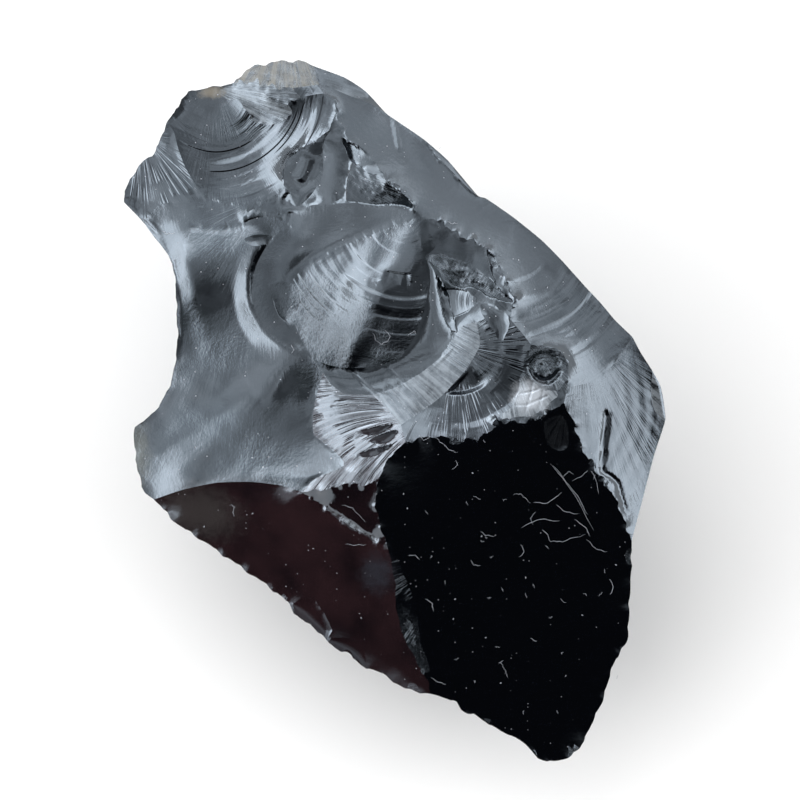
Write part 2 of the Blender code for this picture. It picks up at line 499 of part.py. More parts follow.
def crossings(scars, points, edges, number):
    """Where the rim between two scars crosses each edge, as a share of the edge and as x and y."""
    start, end = edges.T
    run = points[end, :2] - points[start, :2]
    low, high = np.zeros(len(edges)), np.ones(len(edges))
    for _ in range(CUT_STEPS):
        middle = (low + high) / 2
        x, y = (points[start, :2] + run * middle[:, None]).T
        same = which_scar(scars, x, y) == number[start]
        low, high = np.where(same, middle, low), np.where(same, high, middle)
    share = (low + high) / 2
    return share, points[start, :2] + run * share[:, None]


def cut_at_rims(scars, points, faces, number, rim):
    """Cut each triangle whose corners lie in different scars, so that the rims are edges of the mesh."""
    corners = np.sort(np.vstack([faces[:, [0, 1]], faces[:, [1, 2]], faces[:, [2, 0]]]), 1)
    edges, edge_of = np.unique(corners, axis=0, return_inverse=True)
    edge_of = edge_of.reshape(3, -1).T
    split = np.nonzero(number[edges[:, 0]] != number[edges[:, 1]])[0]
    start, end = edges[split].T
    later = np.maximum(number[start], number[end])

    # points close to a rim move onto it, which keeps the triangles from going thin
    share, place = crossings(scars, points, edges[split], number)
    near = np.minimum(share, 1 - share)
    point = np.where(share < 0.5, start, end)
    order = np.argsort(-near)
    move = order[(near[order] < MOVE) & ~rim[point[order]]]
    points[point[move], :2] = place[move]
    points[point[move], 2] = heights(scars, *place[move].T, later[move])

    # every other crossing is a new point, with the height of the scar that broke later
    share, place = crossings(scars, points, edges[split], number)
    share = np.where(rim[start] & rim[end], np.round(share), share)
    fresh = (share > SNAP) & (share < 1 - SNAP)
    crossing = np.full(len(edges), -1)
    crossing[split] = np.where(share < 0.5, start, end)
    crossing[split[fresh]] = len(points) + np.arange(fresh.sum())
    z = heights(scars, *place[fresh].T, later[fresh])
    points = np.vstack([points, np.column_stack([place[fresh], z])])

    cut = crossing[edge_of]
    scar = number[faces]
    kinds = np.array([len(set(row)) for row in scar])
    kinds[(kinds == 3) & (cut < len(number)).all(1)] = 1    # every cut has moved to a corner
    whole = kinds == 1
    parts = [(faces[whole], scar[whole, 0])]

    # two corners in one scar: the odd corner is cut off, and the rest is two triangles
    two = kinds == 2
    face, cuts, owner = faces[two], cut[two], scar[two]
    odd = np.where(owner[:, 1] == owner[:, 2], 0, np.where(owner[:, 0] == owner[:, 2], 1, 2))
    row = np.arange(len(face))
    tip, left, right = (face[row, (odd + k) % 3] for k in range(3))
    near_left, near_right = cuts[row, odd], cuts[row, (odd + 2) % 3]
    rest = owner[row, (odd + 1) % 3]
    parts.append((np.column_stack([tip, near_left, near_right]), owner[row, odd]))
    snapped = (near_left == tip)[:, None]
    parts.append((np.where(snapped, np.column_stack([near_left, left, near_right]),
                           np.column_stack([near_left, left, right])), rest))
    parts.append((np.where(snapped, np.column_stack([left, right, near_right]),
                           np.column_stack([near_left, right, near_right])), rest))

    # three scars meet at a new middle point
    three = kinds == 3
    face, cuts, owner = faces[three], cut[three], scar[three]
    middle = len(points) + np.arange(len(face))
    points = np.vstack([points, (points[cuts].mean(1) + points[face].mean(1)) / 2])
    for k in range(3):
        parts.append((np.column_stack([face[:, k], cuts[:, k], middle]), owner[:, k]))
        parts.append((np.column_stack([face[:, k], middle, cuts[:, k - 1]]), owner[:, k]))

    faces = np.vstack([part for part, _ in parts])
    number = np.concatenate([scar for _, scar in parts])
    real = (faces[:, 0] != faces[:, 1]) & (faces[:, 1] != faces[:, 2]) & (faces[:, 2] != faces[:, 0])
    return points, faces[real], number[real]


def halve_rim(faces, rim, between):
    """Split every triangle that has an edge between two neighbouring rim points at the point between."""
    middle_of = {}
    for k, point in enumerate(between):
        middle_of[rim[k], rim[(k + 1) % len(rim)]] = point
        middle_of[rim[(k + 1) % len(rim)], rim[k]] = point
    result = []
    for a, b, c in faces.tolist():
        for first, second, third in ((a, b, c), (b, c, a), (c, a, b)):
            middle = middle_of.get((first, second))
            if middle is not None:
                result += [(first, middle, third), (middle, second, third)]
                break
        else:
            result.append((a, b, c))
    return result


# ---- the stone ----

def stone_mesh():
    """Points and triangles of the closed stone, centred on its base, in millimetres."""
    outline = loop(OUTLINE)
    top, top_faces, _, top_rim = surface(upper_scars(), outline, GRID_TOP)
    under, under_faces, _, under_rim = surface(under_scars(outline), outline, (GRID_TOP + 1) // 2)
    under[:, 2] = np.maximum(under[:, 2], 0)

    def by_angle(points, rim):
        away = points[rim, :2] - GRID_CENTRE
        return rim[np.argsort(np.arctan2(away[:, 1], away[:, 0]) % (2 * math.pi))]

    # the underside uses every second point of the upper side's rim, and is split at the others
    top_rim, under_rim = by_angle(top, top_rim), by_angle(under, under_rim)
    number = len(top) + np.arange(len(under))
    number[under_rim] = top_rim[::2]
    under_faces = halve_rim(number[under_faces][:, ::-1], top_rim[::2], top_rim[1::2])

    points = np.vstack([top, under])
    faces = np.vstack([top_faces, under_faces])
    used, faces = np.unique(faces, return_inverse=True)
    points = points[used]
    points[:, :2] -= (points.min(0) + points.max(0))[:2] / 2
    return points, faces.reshape(-1, 3)


def glass():
    """Black volcanic glass with a bright natural polish."""
    material = bpy.data.materials.new("obsidian")
    material.use_nodes = True
    shader = material.node_tree.nodes["Principled BSDF"]
    shader.inputs["Base Color"].default_value = GLASS_COLOUR
    shader.inputs["Roughness"].default_value = GLASS_ROUGHNESS
    shader.inputs["Metallic"].default_value = 0.0
    return material


def clear_scene():
    for item in list(bpy.data.objects):
        bpy.data.objects.remove(item)


def main():
    clear_scene()
    points, faces = stone_mesh()
    mesh = bpy.data.meshes.new("obsidian_chunk")
    mesh.from_pydata((points * MM).tolist(), [], faces.tolist())
    mesh.materials.append(glass())
    mesh.shade_smooth()
    mesh.set_sharp_from_angle(angle=math.radians(SHARP_ANGLE))
    stone = bpy.data.objects.new("obsidian_chunk", mesh)
    bpy.context.collection.objects.link(stone)


main()
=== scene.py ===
import math

import bpy
import numpy as np
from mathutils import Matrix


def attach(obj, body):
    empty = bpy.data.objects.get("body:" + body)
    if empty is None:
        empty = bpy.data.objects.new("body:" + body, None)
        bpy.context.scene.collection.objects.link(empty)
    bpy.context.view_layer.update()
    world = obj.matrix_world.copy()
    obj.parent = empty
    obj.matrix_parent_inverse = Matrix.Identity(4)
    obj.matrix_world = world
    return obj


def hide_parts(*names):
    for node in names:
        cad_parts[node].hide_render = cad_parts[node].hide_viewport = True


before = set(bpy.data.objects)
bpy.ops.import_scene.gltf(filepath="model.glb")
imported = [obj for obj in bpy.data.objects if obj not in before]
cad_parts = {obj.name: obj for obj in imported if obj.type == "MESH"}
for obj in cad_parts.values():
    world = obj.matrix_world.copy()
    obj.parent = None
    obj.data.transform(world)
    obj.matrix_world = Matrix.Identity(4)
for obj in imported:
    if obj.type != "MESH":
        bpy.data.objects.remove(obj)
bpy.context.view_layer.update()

mm = 0.001
turn = 2 * math.pi

stone = {
    "gridPoints": 173,          # along each side of the upper grid; the underside takes every second one
    "gridCentre": (0.8, 1.4),   # every ray from here crosses the outline once, in millimetres
    "lineSteps": 8,             # points between two given points of a line
    "ribSteps": 20,             # the same for the ribs of the underside
    "crisp": 0.5,               # share of the straight run in a line, which keeps its bends from going round
    "moveShare": 0.3,           # a point this near to a rim, as a share of an edge, moves onto the rim
    "snapShare": 0.08,          # a cut this near to an edge's end is made at that end
    "cutSteps": 10,             # halvings that find where a rim crosses an edge
    "fade": 0.5,                # forms of a floor grow from nothing over this depth inside their rim
    "creaseAngle": 9.0,         # a rim is a crease where its two floors meet at more than this, in degrees
    "laterSteps": 6,            # points between two given points of a later scar's rim
    "biteSteps": 4,             # the same for a small chip
    "bitePoints": 9,            # points round a small chip
    "lineHold": 1.2,            # a splintered line strays fully from this far inside its ends, in millimetres
    "lineLift": 0.2,            # how far it strays in height, as a share of its straying sideways
    "ringPull": 9,              # how quickly the grid's rings lose the outline's steep turns
    "ringRays": 90,             # the average is over seven rays, of which this many would go all round
    "drawIn": 0.002,            # a point outside every scar is drawn inwards in steps of this share
    "softPasses": 30,           # smoothing passes for each millimetre of a soft line's width
    "softPull": 0.7,            # how far one pass draws a height to its neighbours' mean
    "batch": 8000,              # points worked out at once against a whole rim
}

corners = {  # where lines meet: x, y and height, in millimetres
    "crown": (-8.9, 38.3, 23.6), "shoulder": (-0.8, 33, 24), "east": (26.3, 8.4, 25.5),
    "hip": (26.3, -14.1, 20.6), "heel": (4.1, -31.2, 13.6), "west": (-26.6, -9.6, 15.6),
    "notch": (-27.7, 21.2, 16.8), "cheek": (-25.1, 32.2, 19.3), "brow": (-17.7, 36.4, 22),
    "crustEnd": (-11.3, 35.8, 25), "crustEast": (-8.2, 36.2, 24.9), "lobeWest": (-10.2, 34.8, 25.2),
    "lobeEast": (-6.4, 34.4, 26), "apex": (2.8, 21.6, 29.4), "saddleHead": (15.1, 7.5, 30.9),
    "saddleEast": (19.1, 2.8, 30.1), "saddleFoot": (18.7, 1.1, 29.8), "slabCorner": (1.3, -3.2, 28.6),
    "brownCorner": (-0.6, -15.1, 22.8), "bayFoot": (-10.2, -8.7, 23.2), "shellWest": (-11.9, 20.7, 23),
    "shellSouth": (-8.9, 6, 23.7), "foldFoot": (-5.8, 5, 24.2), "moatWest": (-7.8, 4.5, 23.3),
    "moatHead": (3.5, 17.2, 29), "bandHead": (9.1, 10, 29.8), "bandWest": (-2.3, 2, 25.3),
    "bandNorth": (6.5, 8.2, 28), "fanSouth": (-1.6, -7.2, 26.9), "bandFoot": (0.8, -1.3, 27.7),
    "crestStep": (12.7, 10.4, 31), "terraceFoot": (12.7, -0.9, 29.9), "capFoot": (-19.9, 23.4, 20.3),
    "capEast": (-11.9, 24.8, 24),
}

lines = {  # each line runs through these points; a name is a corner
    "edgeShoulder": ["crown", (-5.4, 37, 23.7), (-3.1, 35.5, 23.8), "shoulder"],
    "edgeFlank": ["shoulder", (0.8, 31.9, 24.6), (3.4, 30.1, 25.3), (5.9, 27.9, 25.9),
        (7.6, 25.9, 26.2), (9.3, 23.9, 26.4), (10.2, 23.6, 26.5), (13.1, 21.6, 26.9),
        (16.2, 19.1, 27.1), (18.4, 16.9, 27.1), (21.1, 13.9, 26.9), (22.8, 12.1, 26.6),
        (24.4, 10.2, 26.1), "east"],
    "edgeEast": ["east", (27.2, 6.7, 24.9), (28.5, 4.7, 23.9), (29.4, 3.1, 23), (29.8, 1.4, 22.3),
        (30, -0.8, 21.6), (28.8, -4.6, 21), (27.5, -9.6, 20.4), "hip"],
    "edgeSlab": ["hip", (26.3, -16.2, 19.3), (26.1, -21.9, 16.5), (25.9, -25.3, 14.7),
        (24.5, -27.6, 13.6), (23.2, -32, 11.3), (21.4, -36, 9.4), (20.7, -37.3, 8.9),
        (19.8, -38.2, 8.5), (17.8, -38.9, 8.1), (15.9, -38.4, 8.4), (14.5, -36.7, 9.4),
        (11.2, -35, 10.6), (9.2, -33.7, 11.5), (7.6, -33.1, 12), (6.8, -32, 12.8), "heel"],
    "edgeBrown": ["heel", (1.2, -30.6, 14), (-1, -29.1, 14.4), (-4.1, -27.7, 14.6), (-5, -26.6, 14.8),
        (-6.9, -25.9, 14.9), (-8.2, -24.3, 15), (-10.4, -22.8, 15.1), (-11.9, -20.9, 15.3),
        (-13, -19.9, 15.4), (-15.5, -18.1, 15.5), (-18.8, -15.8, 15.6), (-22.3, -13.4, 15.6),
        (-23.9, -12.4, 15.6), "west"],
    "edgeBay": ["west", (-27.8, -8.5, 15.2), (-28.6, -5.2, 15), (-28.8, -1.6, 15.2), (-27.8, -1, 15.6),
        (-25.9, 0.9, 16.4), (-24.5, 3.9, 17.3), (-23.9, 8, 18.8), (-24, 11.3, 19.7), (-24.1, 14.1, 19.8),
        (-24.5, 16.6, 19.2), (-25.6, 18.4, 18.3), (-27.1, 20.2, 17), "notch"],
    "edgeCheek": ["notch", (-29.6, 23, 16.6), (-30, 23.6, 16.4), (-29.8, 24.5, 16.6),
        (-28.9, 26.4, 17.2), (-27.8, 27.8, 17.7), (-26.7, 28.6, 18.1), (-26, 29.8, 18.6), "cheek"],
    "edgeCap": ["cheek", (-24.5, 33, 19.6), (-23.8, 33.7, 20), (-23.6, 34.6, 20.2),
        (-22.3, 35.6, 20.8), (-20.1, 36, 21.4), "brow"],
    "edgeCrust": ["brow", (-16.8, 37.5, 21.6), (-14.8, 38.5, 21.8), (-12.4, 38.8, 22.6),
        (-10.4, 38.9, 23.2), "crown"],
    "crustLine": ["brow", (-15.7, 36.6, 23), (-13.5, 36, 24.3), "crustEnd"],
    "crustStep": ["crustEnd", (-9.7, 36, 25.1), "crustEast"],
    "crustSide": ["crown", (-8.5, 37.2, 24.4), "crustEast"],
    "shoulderLine": ["crustEast", (-6.4, 35.6, 25), (-4.7, 34.9, 25), (-2.5, 34.1, 24.6), "shoulder"],
    "flankFoot": ["east", (25, 6.4, 26), (23.3, 4.4, 26.7), (21.7, 3.4, 28), "saddleEast"],
    "crestEast": ["saddleEast", (19.2, 5.3, 30), (18.4, 6.7, 30.3), (16.7, 7.3, 30.7), "saddleHead"],
    "crestStepLine": ["saddleHead", (14, 8.9, 31), "crestStep"],
    "crestMiddle": ["crestStep", (13.3, 12.4, 30.8), (12.3, 14.1, 30.6), (10.9, 16.6, 30),
        (10, 18.3, 29.5), (8.5, 19, 29.3), (6.8, 19.9, 29.2), (5.2, 21.1, 29.1), "apex"],
    "crestNorth": ["apex", (1.9, 23.1, 29.2), (0.6, 24.8, 28.8), (-1.4, 26.2, 28.2),
        (-3.4, 28.4, 27.4), (-5, 30.4, 26.8), (-6, 32.2, 26.4), "lobeEast"],
    "lobeTop": ["lobeEast", (-7.8, 35.2, 25.6), "lobeWest"],
    "lobeSide": ["lobeWest", "crustEnd"],
    "capTop": ["brow", (-16.3, 35.3, 23.4), (-14.4, 34.4, 24.4), (-12.2, 33.9, 25), "lobeWest"],
    "saddleSide": ["saddleEast", "saddleFoot"],
    "slabEast": ["saddleFoot", (19.7, -0.8, 28.2), (20.6, -3.5, 26.8), (21.9, -5.7, 25.5),
        (22.8, -7.2, 24.7), (24.1, -8.7, 23.7), (25.2, -11.2, 22.2), "hip"],
    "slabTopEast": ["saddleFoot", (16.7, 0.1, 29.9), (15.1, -0.9, 29.8), "terraceFoot"],
    "slabTopWest": ["terraceFoot", (11, -0.9, 29.9), (10.7, -2.1, 29.6), (8.5, -2.8, 29.2),
        (4.1, -2.6, 28.6), "slabCorner"],
    "slabWestUpper": ["slabCorner", (-0.6, -5, 27.7), "fanSouth"],
    "slabWestLower": ["fanSouth", (-2.1, -9.6, 25.8), (-1.5, -12.3, 24.3), "brownCorner"],
    "slabHeel": ["brownCorner", (1.3, -21.7, 19), (2.4, -26.1, 16.6), "heel"],
    "brownTop": ["west", (-23.4, -8.5, 17.6), (-19.6, -7.7, 19.4), (-15.7, -7.6, 20.9),
        (-12.4, -8, 22.1), "bayFoot"],
    "brownEast": ["bayFoot", (-8, -10.1, 22.8), (-5.3, -12, 22.8), (-2.3, -13.6, 22.8), "brownCorner"],
    "fanWest": ["bayFoot", (-8.6, -7.2, 23.5), (-5.6, -6, 24.4), (-5.6, -5.2, 24),
        (-6.9, -3.9, 22.9), (-8.8, -2.4, 22), (-8.9, -0.2, 21.9), (-8.5, 2, 22.3), "moatWest"],
    "moatEnd": ["moatWest", "shellSouth"],
    "shellRimWest": ["shellSouth", (-10.4, 6.9, 23.2), (-12.4, 8, 22.6), (-14.4, 9.3, 22),
        (-15.4, 11.3, 21.7), (-15.7, 13.5, 21.6), (-15.2, 16.3, 21.8), (-13.8, 18.8, 22.4), "shellWest"],
    "shellRimSouth": ["shellSouth", (-7.5, 5.4, 23.9), "foldFoot"],
    "shellFold": ["apex", (2.6, 18.6, 29.3), (1.9, 15.6, 29.1), (-1.7, 14.5, 28.2), (-2.6, 11.5, 27.8),
        (-4.1, 8.6, 26.9), "foldFoot"],
    "shellBend": ["apex", (-5.9, 18.3, 24.7), (-9.7, 16.2, 22.8), (-11.5, 14.2, 22.4), (-11.7, 11.9, 22.3),
        (-10.7, 9.3, 22.6), (-9.8, 7.5, 23), "shellSouth"],
    "shellRimEast": ["foldFoot", (-3.4, 5, 25), (-1.4, 5.2, 25.3), (0.8, 6.2, 25.9),
        (2.3, 8.4, 26.7), (3.3, 11.1, 27.6), (3.9, 14.2, 28.4), "moatHead"],
    "shellRimApex": ["moatHead", (3.1, 19.2, 29.2), "apex"],
    "fanTop": ["moatWest", (-6.9, 3.1, 23.7), (-5.3, 2.1, 24.3), "bandWest"],
    "bandUpper": ["bandWest", (0.2, 2.8, 25.9), (3, 4.4, 26.5), (5.2, 6.2, 27.2), "bandNorth"],
    "moatSide": ["bandNorth", (5.8, 10.8, 28.5), (5.1, 13.5, 28.8), (4.4, 15.7, 28.9), "moatHead"],
    "bandTop": ["bandNorth", (7.6, 9.6, 29), "bandHead"],
    "bandLower": ["bandHead", (9.5, 7.5, 29.4), (7.9, 4.7, 28.7), (5.2, 1.8, 27.8), (2.8, 0, 27.4),
        "bandFoot"],
    "bandEnd": ["bandFoot", (-0.9, 0.6, 26.2), "bandWest"],
    "fanTip": ["bandFoot", "slabCorner"],
    "fanLow": ["fanSouth", (-3.4, -8, 26.4), (-5.3, -7.7, 26), (-7.5, -8.4, 25), "bayFoot"],
    "terraceTop": ["bandHead", (10.9, 10.6, 31), "crestStep"],
    "terraceSide": ["saddleHead", (14.4, 5.6, 30.2), (14.4, 3.6, 29.7), (13.9, 1.5, 29.3), "terraceFoot"],
    "bayTop": ["shellWest", (-13.5, 21.8, 22.7), (-16.8, 22.7, 21.6), "capFoot"],
    "cheekFoot": ["capFoot", (-22.3, 23.5, 19.7), (-25.9, 23.1, 18), "notch"],
    "capWest": ["cheek", (-24.3, 31.1, 19.4), (-23.9, 29.5, 19.5), (-23.1, 27.3, 19.6),
        (-21.8, 25.1, 19.8), "capFoot"],
    "capLow": ["capFoot", (-17.9, 23.1, 21.4), (-15.7, 23.1, 22.2), (-13.5, 23.8, 23), "capEast"],
    "capSide": ["capEast", (-12.3, 26.7, 24.2), (-11.3, 28.6, 24.9), (-9.1, 29.7, 25.7),
        (-7.5, 30.8, 26.1), (-6.5, 32.5, 26.2), "lobeEast"],
    "shellRimNorth": ["apex", (-1.4, 23.1, 27.8), (-5.8, 23.1, 26.2), (-9.1, 22.9, 24.7),
        (-10.8, 21.9, 23.6), "shellWest"],
}

firstScars = {  # each rim is a loop of lines, and one with a minus runs backwards
    "shoulder": ["edgeShoulder", "-shoulderLine", "-crustSide"],
    "crust": ["edgeCrust", "crustSide", "-crustStep", "-crustLine"],
    "flank": ["edgeFlank", "flankFoot", "crestEast", "crestStepLine", "crestMiddle", "crestNorth",
        "lobeTop", "lobeSide", "crustStep", "shoulderLine"],
    "eastSlope": ["edgeEast", "-slabEast", "-saddleSide", "-flankFoot"],
    "slab": ["edgeSlab", "-slabHeel", "-slabWestLower", "-slabWestUpper", "-slabTopWest",
        "-slabTopEast", "slabEast"],
    "brownSlope": ["edgeBrown", "brownTop", "brownEast", "slabHeel"],
    "bay": ["edgeBay", "-cheekFoot", "-bayTop", "-shellRimWest", "-moatEnd", "-fanWest", "-brownTop"],
    "cheek": ["edgeCheek", "capWest", "cheekFoot"],
    "cap": ["edgeCap", "capTop", "-lobeTop", "-capSide", "-capLow", "-capWest"],
    "brow": ["crustLine", "-lobeSide", "-capTop"],
    "waist": ["capSide", "-crestNorth", "shellRimNorth", "bayTop", "capLow"],
    "shellLip": ["shellRimNorth", "-shellRimWest", "-shellBend"],
    "shellWest": ["shellBend", "shellRimSouth", "-shellFold"],
    "shellEast": ["shellFold", "shellRimEast", "shellRimApex"],
    "moat": ["moatEnd", "shellRimSouth", "shellRimEast", "-moatSide", "-bandUpper", "-fanTop"],
    "band": ["bandUpper", "bandTop", "bandLower", "bandEnd"],
    "fan": ["fanWest", "fanTop", "-bandEnd", "fanTip", "slabWestUpper", "fanLow"],
    "darkFoot": ["-fanLow", "slabWestLower", "-brownEast"],
    "terrace": ["-bandLower", "terraceTop", "-crestStepLine", "terraceSide", "slabTopWest", "-fanTip"],
    "saddle": ["terraceSide", "-slabTopEast", "-saddleSide", "crestEast"],
    "knot": ["-crestMiddle", "-terraceTop", "-bandTop", "moatSide", "shellRimApex"],
}

# the foot's corners with the rib that climbs from each: where it leaves the outline, a point on its way,
# where it meets the foot, and how far the facet between it and the next rib bulges
ribs = [
    ((-8.9, 38.3), (-8, 25.6, 7), (-8.2, 12.4), 0.25),
    ((9.3, 23.9), (5.6, 20.6, 11), (1.3, 15.9), 0.12),
    ((26.3, 8.4), (19, 9.1, 9), (9.8, 10.4), 0.3),
    ((26.3, -14.1), (21.4, -8, 7.5), (14, -0.8), 0.2),
    ((17.8, -38.9), (14.8, -27.2, 3.2), (11.6, -14), 0.15),
    ((1.2, -30.6), (1.6, -23.9, 5.2), (2.4, -16.8), 0.3),
    ((-18.8, -15.8), (-13.8, -12.7, 5.6), (-8.2, -9.6), 0.12),
    ((-28.8, -1.6), (-21.4, 0.3, 5.6), (-13.3, 1.4), 0.0),
    ((-30, 23.6), (-21.4, 16.6, 6.4), (-12.4, 8.6), 0.1),
]
outlineLines = ["edgeShoulder", "edgeFlank", "edgeEast", "edgeSlab", "edgeBrown", "edgeBay", "edgeCheek",
                "edgeCap", "edgeCrust"]
shellHalves = ["shellWest", "shellEast"]  # halves of one scar, whose forms run on across the fold
shellRim = ["shellBend", "shellRimSouth", "shellRimEast", "shellRimApex"]
roughLines = {  # lines that splintered: how far they stray, and over what length, in millimetres
    "edgeSlab": (0.1, 2.6), "edgeBrown": (0.11, 3.4), "edgeCrust": (0.16, 3), "edgeCap": (0.1, 2.6),
    "slabTopWest": (0.22, 2.4), "slabTopEast": (0.25, 2), "slabWestLower": (0.1, 2.6),
    "slabWestUpper": (0.07, 2), "slabHeel": (0.15, 2.8), "slabEast": (0.12, 2.5), "crestMiddle": (0.2, 2),
    "crestNorth": (0.15, 2.2), "crustLine": (0.3, 1.8), "capTop": (0.2, 1.8), "capSide": (0.08, 2.2),
    "capLow": (0.08, 2.2), "fanLow": (0.12, 2.4), "brownEast": (0.1, 2.2), "terraceSide": (0.15, 2),
    "edgeBay": (0.07, 3), "edgeCheek": (0.08, 3), "bayTop": (0.25, 2.5),
}
softLines = {  # folds that are round, and over what width, in millimetres
    "shellFold": 1.2, "shellBend": 0.8, "fanTop": 0.9, "bandUpper": 0.7, "moatEnd": 1.2, "cheekFoot": 1.0,
    "bayTop": 1.2, "fanWest": 0.6, "flankFoot": 0.8, "capLow": 0.7, "crustStep": 0.6, "lobeSide": 0.6,
}


def waves(x, y, seed, length, count=6):
    # soft uneven noise: a sum of sines with random directions and phases and lengths near the given one
    draw = np.random.default_rng(seed)
    total = np.zeros_like(x)
    for _ in range(count):
        way, phase = draw.uniform(0, turn, 2)
        pace = turn / (length * draw.uniform(0.6, 1.5))
        total += np.sin(pace * (x * math.cos(way) + y * math.sin(way)) + phase)
    return total / math.sqrt(count)


def stray(s, seed, length, sets=5):
    # jagged noise along a line: sines of a halving length, each with its own phase
    phases = np.random.default_rng(seed).uniform(0, turn, sets)
    return sum(0.62 ** k * np.sin(turn * s * 2 ** k / length + phase) for k, phase in enumerate(phases))


def grow(value, low, high):
    # 0 below low, 1 above high, with a smooth rise between
    share = np.clip((value - low) / (high - low), 0, 1)
    return share * share * (3 - 2 * share)


def dent(at, size, deep, power=1.0, lean=0.0):
    # an elliptical bell, deep at its middle; a negative depth makes a knob
    cosine, sine = math.cos(math.radians(lean)), math.sin(math.radians(lean))

    def height(x, y):
        u = ((x - at[0]) * cosine + (y - at[1]) * sine) / size[0]
        v = ((y - at[1]) * cosine - (x - at[0]) * sine) / size[1]
        return -deep * np.exp(-(u * u + v * v) ** power)
    return height


def ridge(start, end, high, wide, bow=0.0, lee=0.0):
    # a rounded bank from start to end, bowed sideways in the middle; lee is the width of its right side
    run = np.subtract(end, start)
    length = math.hypot(*run)

    def height(x, y):
        along = ((x - start[0]) * run[0] + (y - start[1]) * run[1]) / length ** 2
        across = ((y - start[1]) * run[0] - (x - start[0]) * run[1]) / length
        across = across + 4 * bow * along * (1 - along)
        side = np.where(across > 0, wide, lee or wide)
        return high * np.exp(-(across / side) ** 2) * grow(along, 0, 0.2) * grow(1 - along, 0, 0.2)
    return height


def shelf(at, slopeX, slopeY, low, high, bankAt, bankRadius, bankWide):
    # a floor that sinks away from a point; it comes back up smoothly over the given stretches at its low and
    # high ends, and as a straight bank round a centre
    def height(x, y):
        sink = np.maximum(slopeX * (x - at[0]), 0) + np.maximum(slopeY * (at[1] - y), 0)
        bank = np.clip((np.hypot(x - bankAt[0], y - bankAt[1]) - bankRadius) / bankWide, 0, 1)
        return -sink * bank * grow(y, *low) * grow(-y, *high)
    return height


def trench(at, radius, deep, inner, outer, sector, ends=0.4):
    # part of a ring that sinks slowly to its radius and comes back quickly beyond it
    middle, half = math.radians(sum(sector) / 2), math.radians((sector[1] - sector[0]) / 2)

    def height(x, y):
        far = np.hypot(x - at[0], y - at[1])
        off = np.abs((np.arctan2(y - at[1], x - at[0]) - middle + math.pi) % turn - math.pi)
        back = 1 - np.clip((far - radius) / outer, 0, 1)
        return -deep * np.clip((far - radius + inner) / inner, 0, 1) * back * grow(half - off, 0, ends)
    return height


def slant(at, slopeX, slopeY):
    # a tilt about a point
    return lambda x, y: slopeX * (x - at[0]) + slopeY * (y - at[1])


def cleft(points, deep, wide, lean=0.0):
    # a V-shaped crack along straight runs; with a lean, one of its sides stands higher, so it is a step
    points = np.asarray(points, float)

    def height(x, y):
        near, side = np.full(x.shape, 1e9), np.zeros(x.shape)
        for start, end in zip(points[:-1], points[1:]):
            run = end - start
            share = np.clip(((x - start[0]) * run[0] + (y - start[1]) * run[1]) / (run @ run), 0, 1)
            away = np.hypot(x - start[0] - share * run[0], y - start[1] - share * run[1])
            left = (run[0] * (y - start[1]) - run[1] * (x - start[0])) > 0
            side = np.where(away < near, np.where(left, 1.0, -1.0), side)
            near = np.minimum(near, away)
        fall = np.maximum(1 - near / wide, 0)
        return -deep * fall + lean * side * fall * np.minimum(near / (0.15 * wide), 1)
    return height


def ripples(at, radii, high, nearest, furthest, sector=None, sharp=0.6, seed=1, ends=0.4):
    # rings round a point of impact: a wave between each two radii, steeper on one side, of uneven strength
    drift, driftLength, uneven = 0.15, 5, 0.6
    counts = np.arange(len(radii))
    strengths = 1 - uneven * np.random.default_rng(seed).uniform(0, 1, len(radii))

    def height(x, y):
        radius = np.hypot(x - at[0], y - at[1]) + drift * waves(x, y, seed, driftLength)
        phase = turn * np.interp(radius, radii, counts)
        wave = np.sin(phase + sharp * np.sin(phase)) * np.interp(radius, radii, strengths)
        wave = wave * grow(radius, nearest, nearest + 1) * grow(-radius, -furthest, 1 - furthest)
        if sector:
            middle, half = math.radians(sum(sector) / 2), math.radians((sector[1] - sector[0]) / 2)
            off = np.abs((np.arctan2(y - at[1], x - at[0]) - middle + math.pi) % turn - math.pi)
            wave = wave * grow(half - off, 0, ends)
        return high * wave
    return height


def hackles(at, count, high, nearest, furthest, curl=0.0, seed=1):
    # ribs that spread from a point, curling with the distance; three sets of uneven pace are added, and
    # they reach their full height at a given distance
    full = 8.0
    phases = np.random.default_rng(seed).uniform(0, turn, 3)

    def height(x, y):
        radius = np.hypot(x - at[0], y - at[1])
        angle = np.arctan2(y - at[1], x - at[0]) + curl * radius
        rays = sum(np.sin(pace * count * angle + phase + 0.6 * np.sin(3 * angle + phase))
                   for pace, phase in zip((1, 1.73, 0.58), phases))
        fade = grow(radius, nearest, nearest + 1) * grow(-radius, -furthest, 1 - furthest)
        return high * rays / 2 * fade * np.minimum(radius / full, 1)
    return height


def swell(high, length, seed):
    # a slow uneven rise and fall
    return lambda x, y: high * waves(x, y, seed, length)


def rubble(high, length, seed):
    # crushed glass: four sets of sharp-crested noise, each half as long as the last
    def height(x, y):
        return high * sum(0.55 ** k * (0.6 - np.abs(waves(x, y, seed + k, length / 2 ** k)))
                          for k in range(4))
    return height


# the radii of the widest ripples, in millimetres
shellRings = [0, 2.2, 3.9, 5.3, 6.4, 7.9, 9.3, 10.3, 11.2, 12.3, 13.2, 14.1, 14.8, 15.6, 16.4, 17.2, 18, 19,
              20, 22]
capRings = [0, 1.8, 3.2, 4.4, 5.5, 6.5, 7.4, 8.3, 9.5, 10.2, 11.4, 12.4, 13.4, 14.4, 15.4]

